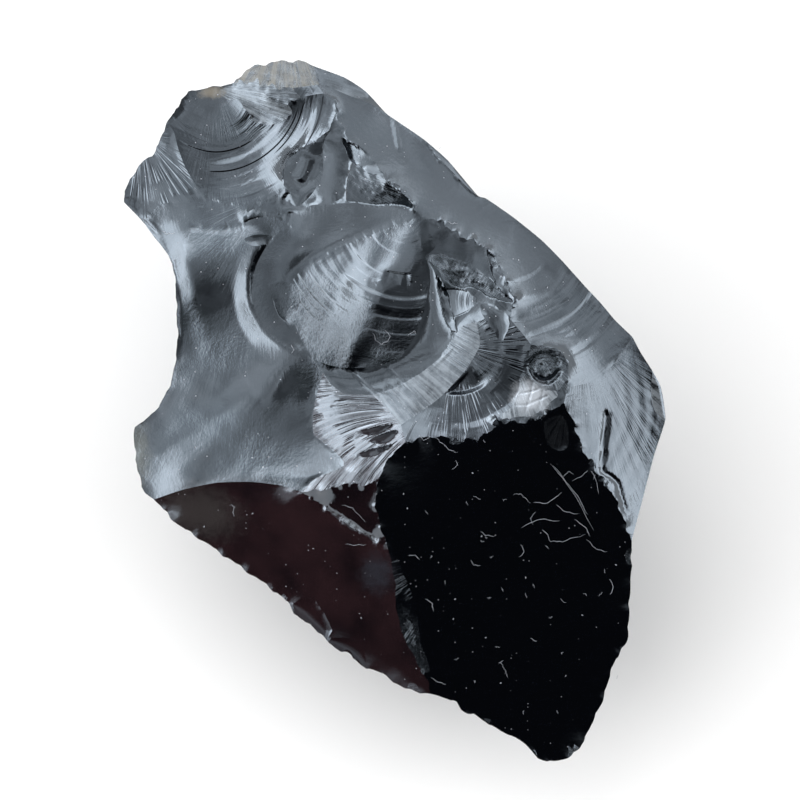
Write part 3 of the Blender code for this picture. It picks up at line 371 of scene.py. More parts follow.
# how each scar's floor leaves the surface that its rim spans: the cup's share of the depth inside the rim,
# and its forms; then what its glass shows: its point of impact, the strengths of its rings, hackles, strands
# (grooves where negative), grain, frost, crust and tint, how fine its hackles are, and how they curl
floors = {
    "shoulder": {
        "cup": 0.1, "impact": (-20, 40), "hackles": 0.2,
        "forms": [swell(0.02, 4, 11)]},
    "crust": {
        "cup": -0.3, "impact": (-12, 45), "crust": 1, "hackles": 1,
        "forms": [rubble(0.13, 2.6, 21)]},
    "flank": {
        "cup": 0.12, "impact": (12.9, 19), "rings": 0.5, "hackles": 0.15, "grain": 0.35,
        "forms": [
            ripples((12.9, 19), [0, 5, 7.4, 9.2, 10.9, 12.4, 14.2, 17], 0.06, 6, 18, (-95, 5), ends=0.5),
            ripples((-3, 35.8), [0, 1.6, 2.7, 3.5, 4.2, 5, 5.8], 0.008, 1.5, 5.6, (-150, -30)),
            swell(0.05, 9, 31),
            ridge((0.1, 32.4), (0.7, 28.6), 0.16, 0.3)]},
    "eastSlope": {
        "cup": 0.1, "impact": (20.5, 9), "rings": 0.1, "hackles": 0.6, "grain": 0.3,
        "forms": [
            hackles((20.5, 9), 46, 0.018, 5, 22, seed=5),
            ripples(
                (15.5, 0.5), [0, 9, 10.4, 12, 13.5, 15], 0.045, 8.5, 16, (-60, 35), sharp=0.7, seed=6,
                ends=0.5),
            cleft([(23.5, -0.2), (23.1, -6.3), (24.8, -7.5), (25.7, -10.6)], 0.25, 0.5, 0.2)]},
    "slab": {"cup": 0.03, "impact": (30, 6), "hackles": 0.03},
    "brownSlope": {
        "cup": 0.08, "impact": (-2, -8), "tint": 1,
        "forms": [swell(0.03, 7, 41)]},
    "bay": {
        "cup": 0.06, "impact": (-14, 24), "rings": 0.15, "hackles": 0.25, "grain": 1,
        "forms": [
            shelf((-23.2, 17.5), 0.14, 0.07, (5, 12), (-20, -11.5), (-7.5, 13.5), 8, 2.2),
            ridge((-26.7, -9.6), (-8.9, 8.6), 0.35, 2.0, 0.6),
            ridge((-24.6, 15.2), (-13, 18.4), 1.15, 3.6, lee=7),
            swell(0.015, 2.6, 57),
            ridge((-16, -6.9), (-6.5, -7.4), 0.25, 0.8),
            cleft([(-22.3, 20.7), (-19, 20.3), (-16.8, 20.8)], 0.12, 0.4, 0.12),
            swell(0.05, 8, 51)]},
    "cheek": {
        "cup": 0.04, "impact": (-28, 31), "hackles": 0.2, "strands": 0.04,
        "forms": [
            slant((-25.5, 27), -0.03, 0),
            dent((-28.2, 24), (1.5, 1.3), 0.3)]},
    "cap": {
        "cup": 0.3, "impact": (-19.6, 36.1), "rings": 1, "hackles": 0.4,
        "forms": [
            dent((-15.0, 29.8), (4.2, 3.6), 0.8, 1.2, 30),
            ripples((-19.6, 36.1), capRings, 0.035, 4.5, 15, sharp=0.9, seed=4),
            swell(0.04, 6, 61)]},
    "brow": {
        "cup": 0.2, "impact": (-21.5, 36), "hackles": 1.6, "frost": 0.5,
        "forms": [rubble(0.06, 2, 25)]},
    "waist": {
        "cup": 0.2, "impact": (-12, 30), "hackles": 0.3, "rings": 0.4,
        "forms": [
            swell(0.08, 3.4, 71),
            ripples(
                (-6.5, 20.5), [0, 2.4, 3.8, 5.2, 6.5, 7.9], 0.1, 2.5, 9.5, (110, 195), sharp=0.8,
                ends=0.3)]},
    "shellLip": {"cup": 0.03, "impact": (1.4, 21.8), "rings": 0.12, "hackles": 0.05, "grain": 0.2},
    "shell": {
        "cup": 0.02, "impact": (1.4, 21.8), "rings": 0.8, "hackles": 0.15, "grain": 1.6,
        "forms": [
            dent((-2.4, 11.6), (1.1, 0.9), 0.1),
            dent((-3.6, 9.4), (1.2, 1), 0.12),
            swell(0.06, 4, 93),
            ripples((1.4, 21.8), shellRings, 0.045, 6, 21, (195, 245), sharp=0.8, seed=2, ends=0.3)]},
    "moat": {
        "cup": 0.35, "impact": (1.4, 21.8), "rings": 0.2, "hackles": 0.15,
        "forms": [
            swell(0.03, 6, 91),
            cleft([(-4.7, 4.7), (-2, 2), (0.8, -1.3)], 0.09, 0.28),
            cleft([(-0.9, 5.3), (2.1, 2.3)], 0.07, 0.25)]},
    "band": {
        "cup": 0.1, "impact": (-20, 24), "hackles": 0.8, "fine": 4, "frost": 0.8,
        "forms": [cleft([(-4.7, 4.7), (-2, 2), (0.8, -1.3)], 0.12, 0.28)]},
    "fan": {
        "cup": 0.05, "impact": (4.6, -0.8), "hackles": 0.6, "curl": -0.03, "fine": 1.9, "frost": 0.28,
        "tint": 1, "strands": -0.12,
        "forms": [hackles((4.6, -0.8), 52, 0.05, 0, 99, -0.03, 3)]},
    "darkFoot": {"cup": 0.1, "impact": (0.8, -1.3), "hackles": 0.25, "curl": -0.04, "tint": 0.6},
    "terrace": {
        "cup": 0.15, "impact": (6.8, 7.5), "hackles": 0.5, "rings": 0.3, "strands": 0.07,
        "forms": [
            trench((6.8, 7.5), 5.1, 0.55, 2.4, 0.5, (225, 320)),
            trench((6.8, 7.5), 8.6, 0.25, 2.2, 0.7, (262, 350)),
            ripples((6.8, 7.5), [0, 2.5, 5.2, 7.6, 10, 12.5], 0.03, 1.5, 12, sharp=0.5)]},
    "saddle": {
        "cup": 0.2, "impact": (16, 7), "hackles": 1,
        "forms": [rubble(0.05, 2, 27)]},
    "knot": {
        "cup": 0.2, "impact": (4, 18), "rings": 0.3, "hackles": 0.2,
        "forms": [swell(0.06, 3, 95)]},
}

# single arcs: radius and middle direction and half its spread in degrees, then the step's height and width
arcs = {
    "cap": [(7.2, 270, 38, -0.09, 0.2), (9.4, 305, 48, -0.14, 0.2), (9.9, 330, 22, -0.12, 0.18),
            (8.2, 300, 40, 0.1, 0.9), (11.2, 330, 30, 0.1, 0.8), (11.9, 335, 22, -0.09, 0.2),
            (12.6, 280, 40, -0.06, 0.3), (5.6, 285, 35, 0.05, 0.5)],
    "shell": [(3.1, 268, 35, -0.05, 0.3), (4.3, 225, 40, -0.06, 0.3), (6.5, 262, 14, -0.22, 0.3),
              (6.9, 225, 30, -0.05, 0.3), (9.2, 258, 38, 0.3, 0.6), (10.2, 250, 34, 0.06, 0.25),
              (11.5, 270, 26, 0.2, 0.4), (13.2, 270, 26, 0.16, 0.3), (15.2, 275, 22, 0.08, 0.3),
              (12.4, 225, 20, -0.07, 0.3), (13.6, 218, 22, -0.1, 0.3), (14.3, 215, 24, -0.07, 0.25),
              (15.1, 212, 26, -0.12, 0.35), (16.6, 205, 30, 0.1, 0.4)],
    "flank": [(4.4, 300, 30, -0.1, 0.6), (7.3, 290, 26, -0.14, 0.8), (8.9, 300, 36, -0.1, 0.6),
              (10.6, 318, 44, -0.28, 1.0), (12.4, 318, 36, -0.2, 0.9), (14, 315, 28, -0.16, 0.8)],
}

# colour alone, without relief: stains, and in the third a painted reflection, a pale bluish spot on the brown
# slope; middle and half size in millimetres, and colour
stainsAndReflection = [
    ((-28.6, -4.6, 15), (2.4, 5.5, 4), (0.034, 0.032, 0.02)),
    ((-20.1, 35.5, 22), (2.0, 1.1, 4), (0.13, 0.108, 0.075)),
    # a painted reflection, not a stain: a pale bluish spot on the brown slope
    ((-1.9, -18.2, 22), (2.8, 3.6, 5), (0.02, 0.02, 0.026)),
    ((-21.5, -11, 17), (7, 4.5, 5), (0.027, 0.023, 0.023)),
    ((15, 1.8, 30), (2.8, 2.4, 4), (0.3, 0.32, 0.35)),
]

# the later scars in the order they broke: as above, and the rim's points, of which a repeated one is a
# corner, how far the rim strays where it is ragged, how its plane leans, which is its slope along x and y
# and its rise, and how far that plane may be raised above what was there
laterScars = {
    "browFan": {
        "ragged": 0.1, "cup": 0.12, "impact": (-21.5, 36.5), "hackles": 2, "frost": 1, "rings": 0,
        "rim": [(-19.6, 35.5), (-17.6, 36), (-14.4, 35.3), (-11.9, 34.1), (-11.2, 33), (-12.3, 32.2),
                (-13.8, 31.8), (-15.1, 32), (-16, 33.1), (-17.3, 34.4), (-18.8, 34.9)]},
    "whitePatch": {
        "ragged": 0.1, "cup": 0.1, "impact": (12, 8), "hackles": 1, "frost": 1.7,
        "rim": [(14.3, 3.9), (16.7, 3.6), (17.9, 2), (17, 0.9), (15.1, -0.2), (12.9, -0.6), (11.8, -0.3),
                (13.4, 1.4)],
        "forms": [
            cleft([(12.9, 0.9), (14.6, 0.9), (16.9, 1.9)], 0.14, 0.15),
            cleft([(13.6, 2.1), (15.3, 2.4), (16.9, 3.1)], 0.14, 0.15),
            cleft([(14.3, -0.3), (15.1, 2.3), (15.3, 3.7)], 0.14, 0.15),
            cleft([(15.9, 0.3), (16.3, 2), (16.5, 3.5)], 0.14, 0.15)]},
    "pit": {
        "ragged": 0.1, "cup": 0.3, "hackles": 1, "grain": 1,
        "rim": [(14.5, 6), (15.4, 7), (16.7, 7.4), (18, 6.9), (18.9, 5.6), (18.9, 3.9), (18.1, 2.6),
                (16.9, 2.4), (15.7, 3.2), (14.7, 4.1), (14.3, 5.1)],
        "forms": [
            trench((16.6, 5), 1.5, 0.5, 0.5, 0.5, (0, 360)),
            rubble(0.07, 1.2, 33)]},
    "cornerChip": {
        "cup": 0.05, "frost": 1.6, "hackles": 0.5,
        "rim": [(28.6, 5), (28.6, 5), (29.8, 3.1), (30.7, -0.8), (30.2, -1.2), (30.2, -1.2), (28.8, 0.3),
                (28.4, 2.3)]},
    "flankStrip": {
        "cup": 0, "lean": (-0.5, -0.5, -0.05), "raised": 0.6,
        "rim": [(3.4, 30.1), (3.4, 30.1), (6, 28.4), (8.2, 26), (10.2, 23.6), (10.2, 23.6), (8.8, 24.2),
                (6.6, 26.4), (4.9, 28.2)]},
    "cornerStep": {
        "ragged": 0.07, "cup": 0.32, "impact": (18.9, 0.5), "rings": 1, "frost": 0.06,
        "rim": [(16.6, -1.0), (18.5, -0.3), (19.3, -2.5), (18.8, -4), (17.2, -3.7)]},
    "gapOne": {
        "cup": 0.1, "lean": (-0.5, 0.4, -0.6), "tint": 1,
        "rim": [(-4.5, -2.1), (-4.5, -2.1), (-2.5, -1.7), (-0.1, -1.3), (-0.1, -1.3), (-2, -2.3)]},
    "gapTwo": {
        "cup": 0.1, "lean": (-0.5, 0.4, -0.6), "tint": 1,
        "rim": [(-3, -3.1), (-3, -3.1), (-1.3, -2.4), (0.5, -1.9), (0.5, -1.9), (-0.8, -3.2)]},
    "gapThree": {
        "cup": 0.1, "lean": (-0.5, 0.4, -0.6), "tint": 1,
        "rim": [(-4.8, -4.6), (-4.8, -4.6), (-2.4, -4.1), (-0.1, -3.5), (-0.1, -3.5), (-2.3, -4.7)]},
    "shellPatch": {
        "ragged": 0.07, "cup": 0.1, "lean": (-0.04, 0.15, -0.1), "grain": 2.5,
        "rim": [(-13.8, 14.2), (-13.8, 14.2), (-12.2, 14.5), (-10.8, 14.1), (-10.4, 12.5), (-10.9, 11),
                (-12, 10.3), (-13.1, 11.8)]},
    "seam": {
        "ragged": 0.08, "cup": 0.1, "lean": (0, 0, -0.08), "hackles": 3, "frost": 0.8,
        "rim": [(-8.3, -9.9), (-8.3, -9.9), (-5.2, -11.7), (-2.4, -13.5), (-1.9, -14.1), (-1.9, -14.1),
                (-4, -13), (-6.4, -11.3)]},
    "heelStrip": {
        "ragged": 0.12, "cup": 0.1, "impact": (9, -14), "hackles": 2.5, "grain": 1,
        "rim": [(-0.1, -16.4), (0.9, -17), (2, -20.5), (3, -24.8), (3.9, -28.6), (2.4, -27.6),
                (0.8, -23.6), (0.1, -19.6)],
        "forms": [rubble(0.04, 1.6, 121)]},
    "scallop": {
        "ragged": 0.08, "cup": 0.55, "tint": 1,
        "rim": [(-10.8, -20.9), (-9.9, -20.4), (-8.7, -20.9), (-7.7, -22.1), (-7, -23.9), (-7.5, -25.2),
                (-8.9, -25.2), (-10.4, -23.6), (-11.1, -22)]},
    "footChip": {
        "ragged": 0.1, "cup": 0.35, "tint": 1,
        "rim": [(-7.4, -25.6), (-6, -24.9), (-4.5, -25.4), (-3.4, -26.6), (-3, -28.3), (-4.7, -28.3),
                (-6.7, -26.9)]},
    "tear": {
        "ragged": 0.08, "cup": 0.02,
        "rim": [(-12, 25), (-12.1, 26.3), (-11.7, 27.6), (-10.9, 28.6), (-9.6, 29.3), (-8.1, 29.7),
                (-7.8, 28.7), (-8.2, 26.7), (-9.3, 25.3), (-10.8, 24.5)],
        "forms": [ridge((-10.7, 25.4), (-9.3, 28.6), 0.14, 0.7, 0.2)]},
    "smoothLens": {
        "cup": -0.12,
        "rim": [(-7.7, 29.8), (-6.3, 31.4), (-5.2, 30), (-5, 27.3), (-5.3, 24.5), (-6.4, 23.3),
                (-8.5, 23.3), (-7.8, 26.2)]},
    "darkTriangle": {
        "ragged": 0.12, "cup": 0.1, "lean": (-0.12, 0.32, 0.1), "raised": 0.15, "hackles": 1, "grain": 1,
        "rim": [(-4.7, 27.8), (-4.7, 27.8), (-3, 27.2), (-0.9, 25.6), (0.7, 24.2), (2.1, 22.7),
                (2.1, 22.7), (-0.3, 23), (-5.2, 23.4), (-5.2, 23.4)],
        "forms": [rubble(0.08, 2.4, 101)]},
    "glint": {
        "ragged": 0.1, "cup": 0.2, "lean": (0.25, 0, -0.2),
        "rim": [(-5.5, 30.1), (-5.5, 30.1), (-4.2, 29.3), (-2.3, 27.8), (-0.9, 26.1), (-3, 26.7),
                (-4.6, 27.8)]},
    "upperStep": {
        "cup": -0.2,
        "rim": [(-14.8, 22.8), (-12.9, 23.4), (-10.2, 23.1), (-9.5, 22.3), (-11.8, 22), (-13.8, 22.1)]},
    "lowerStep": {
        "cup": 0.15,
        "rim": [(-16.8, 20.8), (-14.8, 21.6), (-12.7, 21.3), (-11.3, 20.5), (-13.3, 20), (-15.5, 20.1)]},
    "westStep": {
        "cup": 0.35,
        "rim": [(-16.5, 19.2), (-15.1, 19.7), (-13.5, 19.5), (-14.2, 18.6), (-15.7, 18.5)]},
    "eastStep": {
        "cup": -0.2,
        "rim": [(-11.8, 23.9), (-10.7, 24.5), (-8.9, 25.5), (-8.5, 24.9), (-9.7, 23.4), (-10.8, 22.8)]},
    "knob": {
        "ragged": 0.05, "cup": -0.2,
        "rim": [(3, 21), (4.2, 21.3), (5.2, 20.5), (4.8, 18.8), (3.9, 17.5), (3.2, 18.1)]},
    "wedge": {
        "ragged": 0.12, "cup": 0.15, "lean": (0, 0.12, -0.05), "hackles": 2.5, "grain": 1,
        "rim": [(3.7, 17.1), (3.7, 17.1), (5.2, 17.5), (7.2, 16.9), (9.3, 15.7), (11.3, 14.1),
                (12.9, 12.3), (12.9, 12.3), (10.7, 12.8), (8.5, 13.8), (6.5, 14.2), (5, 15.3)],
        "forms": [
            rubble(0.12, 2.4, 111),
            ridge((4.5, 16.5), (11.5, 13.4), 0.2, 0.5, -0.3)]},
    "crestStrip": {
        "ragged": 0.1, "cup": 0.1, "lean": (0.35, 0, -0.05),
        "rim": [(10.3, 18), (10.3, 18), (11.2, 16.6), (12.4, 14.3), (13.2, 12.4), (13.2, 12.4),
                (12.1, 13), (11.1, 14.6)]},
    "smallShell": {
        "ragged": 0.05, "cup": 0.1, "lean": (0.3, 0, -0.4), "impact": (10.2, 12.4), "rings": 1,
        "rim": [(5.5, 13.5), (5.5, 13.5), (7.6, 13.4), (9.7, 12.4), (9.7, 12.4), (8.2, 11.4),
                (6.5, 10.6), (5.7, 11.6)]},
    "fin": {
        "ragged": 0.06, "cup": -0.15, "lean": (0.4, 0, -0.2), "raised": 0.15,
        "rim": [(4.7, 15.1), (4.7, 15.1), (5.7, 13.5), (6.3, 11.6), (6.9, 8.9), (6.9, 8.9), (5.8, 10),
                (5.3, 12.4)]},
    "hollow": {
        "ragged": 0.06, "cup": 0.4,
        "rim": [(9.7, 12), (11.2, 11.8), (12.4, 10.7), (12.7, 9.6), (11.9, 7.9), (10.9, 9.1),
                (9.9, 10.4)]},
}

chips = {  # small bites along the edges: line, how many, the largest length
    "edgeSlab": (14, 1.1), "edgeBrown": (7, 1.2), "slabTopWest": (6, 0.9), "slabTopEast": (4, 0.9),
    "slabHeel": (5, 0.9), "slabWestLower": (2, 0.6), "slabEast": (5, 0.8), "crestMiddle": (5, 0.8),
    "brownEast": (2, 0.5), "edgeBay": (4, 0.8), "fanLow": (3, 0.8),
}
underChips = {  # the same on the underside
    "edgeFlank": (5, 3.6), "edgeEast": (3, 2.6), "edgeSlab": (7, 2.6), "edgeBrown": (6, 2.6),
    "edgeBay": (5, 3.2), "edgeCheek": (2, 2), "edgeCrust": (2, 2), "edgeShoulder": (2, 2.4),
}


def stretch(before, start, end, after, share):
    # the Catmull-Rom stretch from start to end, at the given shares of it
    return 0.5 * (2 * start + (end - before) * share
                  + (2 * before - 5 * start + 4 * end - after) * share ** 2
                  + (3 * start - before - 3 * end + after) * share ** 3)


def openCurve(points, steps):
    # a smooth curve through the points, both ends included
    share = (np.arange(steps) / steps)[:, None]
    points = np.asarray(points, float)
    ends = np.vstack([2 * points[0] - points[1], points, 2 * points[-1] - points[-2]])
    parts = [stretch(*ends[i:i + 4], share) for i in range(len(points) - 1)]
    return np.vstack(parts + [points[-1:]])


def closedCurve(points, steps):
    # a smooth curve round the points; where a point comes twice, the curve has a corner
    share = (np.arange(steps) / steps)[:, None]
    points = np.asarray(points, float)
    parts = []
    for i, start in enumerate(points):
        end = points[(i + 1) % len(points)]
        if np.any(start != end):
            parts.append(stretch(points[i - 1], start, end, points[(i + 2) % len(points)], share))
    return np.vstack(parts)


def line(name):
    # a line of the net, between its smooth curve and its straight runs; a splintered one strays from that
    # sideways and up, and comes back at both ends
    points = np.array([corners[p] if isinstance(p, str) else p for p in lines[name]], float)
    steps = stone["lineSteps"]
    share = np.arange((len(points) - 1) * steps + 1) / steps
    straight = np.stack([np.interp(share, np.arange(len(points)), points[:, k]) for k in range(3)], axis=1)
    path = stone["crisp"] * straight + (1 - stone["crisp"]) * openCurve(points, steps)
    if name in roughLines:
        high, length = roughLines[name]
        s = np.r_[0, np.cumsum(np.hypot(*np.diff(path[:, :2], axis=0).T))]
        seed = list(lines).index(name)
        hold = grow(s, 0, stone["lineHold"]) * grow(s[-1] - s, 0, stone["lineHold"])
        way = np.gradient(path[:, :2], axis=0) @ [[0, 1], [-1, 0]]
        if name in outlineLines:
            way = path[:, :2] - stone["gridCentre"]     # along the ray, which still crosses the outline once
        way /= np.maximum(np.hypot(*way.T), 1e-9)[:, None]
        sets = 3 if name in outlineLines else 5
        path[:, :2] += way * (high * stray(s, seed, length, sets) * hold)[:, None]
        path[:, 2] += stone["lineLift"] * high * stray(s, seed + 100, length, sets) * hold
    return path


def loop(names):
    # lines end to end; one with a minus runs backwards
    parts = [line(name[1:])[::-1] if name.startswith("-") else line(name) for name in names]
    return np.vstack([part[:-1] for part in parts])


class Scar:
    # a patch of the surface: its rim with heights, and how its floor leaves the surface they span

    def __init__(self, name, rim, look, formRim=None):
        self.name, self.look = name, look
        self.rim, self.heights = rim[:, :2], rim[:, 2]
        self.formRim = self.rim if formRim is None else formRim
        self.cup = look.get("cup", 0.0)

    def holds(self, x, y):
        # a ray from a point inside crosses the rim an odd number of times
        odd = np.zeros(x.shape, bool)
        (x0, y0), (x1, y1) = self.rim.min(0), self.rim.max(0)
        near = np.nonzero((x >= x0) & (x <= x1) & (y >= y0) & (y <= y1))[0]
        px, py = x[near], y[near]
        found = np.zeros(px.shape, bool)
        for (x0, y0), (x1, y1) in zip(self.rim, np.roll(self.rim, -1, 0)):
            if y0 != y1:
                found ^= ((y0 > py) != (y1 > py)) & (px < (x1 - x0) * (py - y0) / (y1 - y0) + x0)
        odd[near] = found
        return odd

    def floor(self, x, y):
        # the mean value surface over the rim's heights, cupped by the depth inside the rim
        height, depth = meanValue(self.rim, self.heights, x, y)
        return height - self.cup * depth

    def relief(self, x, y):
        # the forms, which grow from nothing at the rim
        if not self.look.get("forms"):
            return np.zeros(x.shape)
        depth = meanValue(self.formRim, np.zeros(len(self.formRim)), x, y)[1]
        return sum(form(x, y) for form in self.look["forms"]) * grow(depth, 0, stone["fade"])


def meanValue(rim, heights, x, y):
    # mean value coordinates: each rim point weighs by the tangents of half the angles that its two edges
    # take up as seen from the point, over its distance; the sum of weights also gives a smooth depth
    a, b = rim.T
    sign = np.sign(np.sum(a * np.roll(b, -1) - np.roll(a, -1) * b))
    height, depth = np.empty(x.shape), np.empty(x.shape)
    for k in range(0, len(x), stone["batch"]):
        part = slice(k, k + stone["batch"])
        dx, dy = a - x[part, None], b - y[part, None]
        far = np.hypot(dx, dy) + 1e-9
        nextDx, nextDy, nextFar = (np.roll(v, -1, 1) for v in (dx, dy, far))
        cross = (dx * nextDy - dy * nextDx) * sign
        below = far * nextFar + dx * nextDx + dy * nextDy
        tangent = np.where(below > 1e-10 * far ** 2, cross / np.maximum(below, 1e-30), 1e8)
        weight = (tangent + np.roll(tangent, 1, 1)) / far
        total = weight.sum(1)
        total = np.where(np.abs(total) < 1e-3, 1e-3, total)
        height[part], depth[part] = weight @ heights / total, 2 / np.abs(total)
    return height, depth


def home(scars, x, y):
    # the number of the last scar that holds each point, and the point; one outside them all is drawn inwards
    number = np.full(x.shape, -1)
    homeX, homeY = x.copy(), y.copy()
    centreX, centreY = stone["gridCentre"]
    shrink = 1.0
    while (number < 0).any():
        lost = number < 0
        px = centreX + (x[lost] - centreX) * shrink
        py = centreY + (y[lost] - centreY) * shrink
        found = np.full(px.shape, -1)
        for k, scar in enumerate(scars):
            found[scar.holds(px, py)] = k
        number[lost], homeX[lost], homeY[lost] = found, px, py
        shrink -= stone["drawIn"]
    return number, homeX, homeY


def whichScar(scars, x, y):
    # the number alone
    return home(scars, x, y)[0]


def perScar(scars, x, y, number, value):
    # one of the scars' functions of x and y, each point with its own scar
    result = np.zeros(x.shape)
    for k in np.unique(number):
        here = number == k
        result[here] = value(scars[k])(x[here], y[here])
    return result


def floorHeight(scars, x, y, number):
    # the height of the scars' floors, without their forms
    return perScar(scars, x, y, number, lambda scar: scar.floor)


def reliefHeight(scars, x, y, number):
    # the height of the scars' forms
    return perScar(scars, x, y, number, lambda scar: scar.relief)


def cutLater(scars, name, rim, look):
    # a later scar's rim lies on what was there before it, then leans and sinks as a plane
    if look.get("ragged"):
        way = (np.roll(rim, -1, 0) - np.roll(rim, 1, 0)) @ [[0, 1], [-1, 0]]
        way /= np.maximum(np.hypot(*way.T), 1e-9)[:, None]
        s = np.arange(len(rim)) / len(rim) * round(len(rim) / 18 + 1)
        rim = rim + way * (look["ragged"] * stray(s, len(scars), 1))[:, None]
    x, y = rim.T
    number, homeX, homeY = home(scars, x, y)
    z = floorHeight(scars, homeX, homeY, number) + reliefHeight(scars, homeX, homeY, number)
    slopeX, slopeY, rise = look.get("lean", (0, 0, 0))
    z = z + np.minimum(slopeX * (x - x.mean()) + slopeY * (y - y.mean()) + rise, look.get("raised", 0))
    under = scars[np.bincount(number).argmax()].look
    full = {key: under[key] for key in ("impact", "tint", "grain", "crust") if key in under}
    scars.append(Scar(name, np.column_stack([x, y, z]), {**full, **look}))


def bites(scars, table, seed, side):
    # small chips along the edges: flat rounded rims of uneven radius, long in the line's direction
    draw = np.random.default_rng(seed)
    for name, (count, largest) in table.items():
        path = line(name)[:, :2]
        for k in range(count):
            spot = int(draw.uniform(0.03, 0.95) * (len(path) - 2))
            way = math.atan2(*(path[spot + 2] - path[spot])[::-1]) + draw.uniform(-0.5, 0.5)
            angle = np.arange(stone["bitePoints"]) / stone["bitePoints"] * turn
            radius = largest * draw.uniform(0.3, 1) ** 1.5 * draw.uniform(0.6, 1, stone["bitePoints"])
            u, v = radius * np.cos(angle), radius * np.sin(angle) * draw.uniform(0.3, 0.8)
            rim = np.column_stack([path[spot, 0] + u * math.cos(way) - v * math.sin(way),
                                   path[spot, 1] + u * math.sin(way) + v * math.cos(way)])
            cutLater(scars, f"{name}Chip{k}", closedCurve(rim, stone["biteSteps"]),
                     {"cup": side * draw.uniform(0.1, 0.4), "hackles": 2, "grain": 2})


def upperScars():
    # the first scars, then each later one
    shell = loop(shellRim)[:, :2]
    scars = []
    for name, names in firstScars.items():
        if name in shellHalves:
            scars.append(Scar("shell", loop(names), floors["shell"], shell))
        else:
            scars.append(Scar(name, loop(names), floors[name]))
    for name, look in laterScars.items():
        cutLater(scars, name, closedCurve(look["rim"], stone["laterSteps"]), look)
    bites(scars, chips, 7, 1)
    return scars


def underScars(outline):
    # the flat foot, and the facets between the ribs that climb from it to the outline
    feet = np.array([(*foot, 0.0) for _, _, foot, _ in ribs])
    starts = [int(np.argmin(np.hypot(*(outline[:, :2] - top).T))) for top, _, _, _ in ribs]
    climbs = [openCurve([outline[start], rib[1], foot], stone["ribSteps"])
              for start, rib, foot in zip(starts, ribs, feet)]
    scars = [Scar("foot", feet, {"grain": 0.3})]
    for k, rib in enumerate(ribs):
        after = (k + 1) % len(ribs)
        edge = np.roll(outline, -starts[k], 0)[:(starts[after] - starts[k]) % len(outline)]
        rim = np.vstack([edge, climbs[after][:-1], feet[after], climbs[k][:0:-1]])
        impact = np.array(rib[0]) * 1.1
        forms = [ripples(tuple(impact), np.arange(0, 60, 2.6), 0.09, 4, 30, seed=k + 200),
                 swell(0.14, 7, 300 + k)]
        scars.append(Scar(f"side{k}", rim, {"cup": -rib[3], "impact": tuple(impact), "rings": 1,
                                            "hackles": 1, "strands": 0.04, "grain": 0.5, "forms": forms}))
    bites(scars, underChips, 5, -1)
    return scars


def roundGrid(count):
    # a square grid read as rings: each point's ring from 0 to 1, its angle, and the grid's triangles
    i, j = (k.ravel() for k in np.meshgrid(np.arange(count), np.arange(count), indexing="ij"))
    u, v = 2 * i / (count - 1) - 1, 2 * j / (count - 1) - 1
    ring = np.maximum(np.abs(u), np.abs(v))
    wide = np.abs(u) >= np.abs(v)
    along, across = np.where(wide, u, v), np.where(wide, v, -u)
    angle = np.where(wide, 0.0, math.pi / 2) + np.where(along < 0, math.pi, 0.0)
    angle = angle + math.pi / 4 * across / np.where(along == 0, 1, along)
    cell = (i < count - 1) & (j < count - 1)
    a = np.nonzero(cell)[0]
    b, c, d = a + count, a + count + 1, a + 1
    half = (count - 1) / 2
    rising = ((i[cell] < half) == (j[cell] < half))[:, None]
    pair = np.where(rising, np.column_stack([a, b, c, a, c, d]), np.column_stack([a, b, d, b, c, d]))
    return ring, angle % turn, pair.reshape(-1, 3)


def reach(outline, angle):
    # where the ray at each angle meets the outline: its length, and the outline's height there
    away = outline[:, :2] - stone["gridCentre"]
    table = np.column_stack([np.arctan2(away[:, 1], away[:, 0]) % turn, np.hypot(*away.T), outline[:, 2]])
    table = table[np.argsort(table[:, 0])]
    whole = np.array([turn, 0, 0])
    table = np.vstack([table[-1] - whole, table, table[0] + whole])
    after = np.searchsorted(table[:, 0], angle, side="right").clip(1, len(table) - 1)
    angle0, far0, z0 = table[after - 1].T
    angle1, far1, z1 = table[after].T
    part0, part1 = far0 * np.sin(angle - angle0), far1 * np.sin(angle1 - angle)
    share = part0 / (part0 + part1)
    return far0 * far1 * np.sin(angle1 - angle0) / (part0 + part1), z0 + (z1 - z0) * share


def edgesOf(faces):
    # the mesh's edges, each once, and the three edge numbers of every triangle
    pairs = np.sort(np.vstack([faces[:, [0, 1]], faces[:, [1, 2]], faces[:, [2, 0]]]), 1)
    edges, edgeOf = np.unique(pairs, axis=0, return_inverse=True)
    return edges, edgeOf.reshape(3, -1).T


def refine(place, faces, chosen, fixed):
    # halve every edge of the chosen triangles; a neighbour with one or two halved edges is cut to fit
    edges, edgeOf = edgesOf(faces)
    halved = np.zeros(len(edges), bool)
    halved[edgeOf[chosen].ravel()] = True
    halved &= ~(fixed[edges[:, 0]] & fixed[edges[:, 1]])
    middle = np.full(len(edges), -1)
    middle[halved] = len(place) + np.arange(halved.sum())
    place = np.vstack([place, place[edges[halved]].mean(1)])
    cut = middle[edgeOf]
    count = (cut >= 0).sum(1)
    parts = [faces[count == 0]]
    face, mid = faces[count == 3], cut[count == 3]
    for k in range(3):
        parts.append(np.column_stack([face[:, k], mid[:, k], mid[:, k - 1]]))
    parts.append(mid)
    for halves, first in ((1, np.argmax(cut >= 0, 1)), (2, (np.argmax(cut < 0, 1) + 1) % 3)):
        row = np.nonzero(count == halves)[0]
        a, b, c = (faces[row, (first[row] + k) % 3] for k in range(3))
        m, n = cut[row, first[row]], cut[row, (first[row] + 1) % 3]
        if halves == 1:
            parts += [np.column_stack([a, m, c]), np.column_stack([m, b, c])]
        else:
            parts += [np.column_stack([m, b, n]), np.column_stack([a, m, n]), np.column_stack([a, n, c])]
    return place, np.vstack(parts)


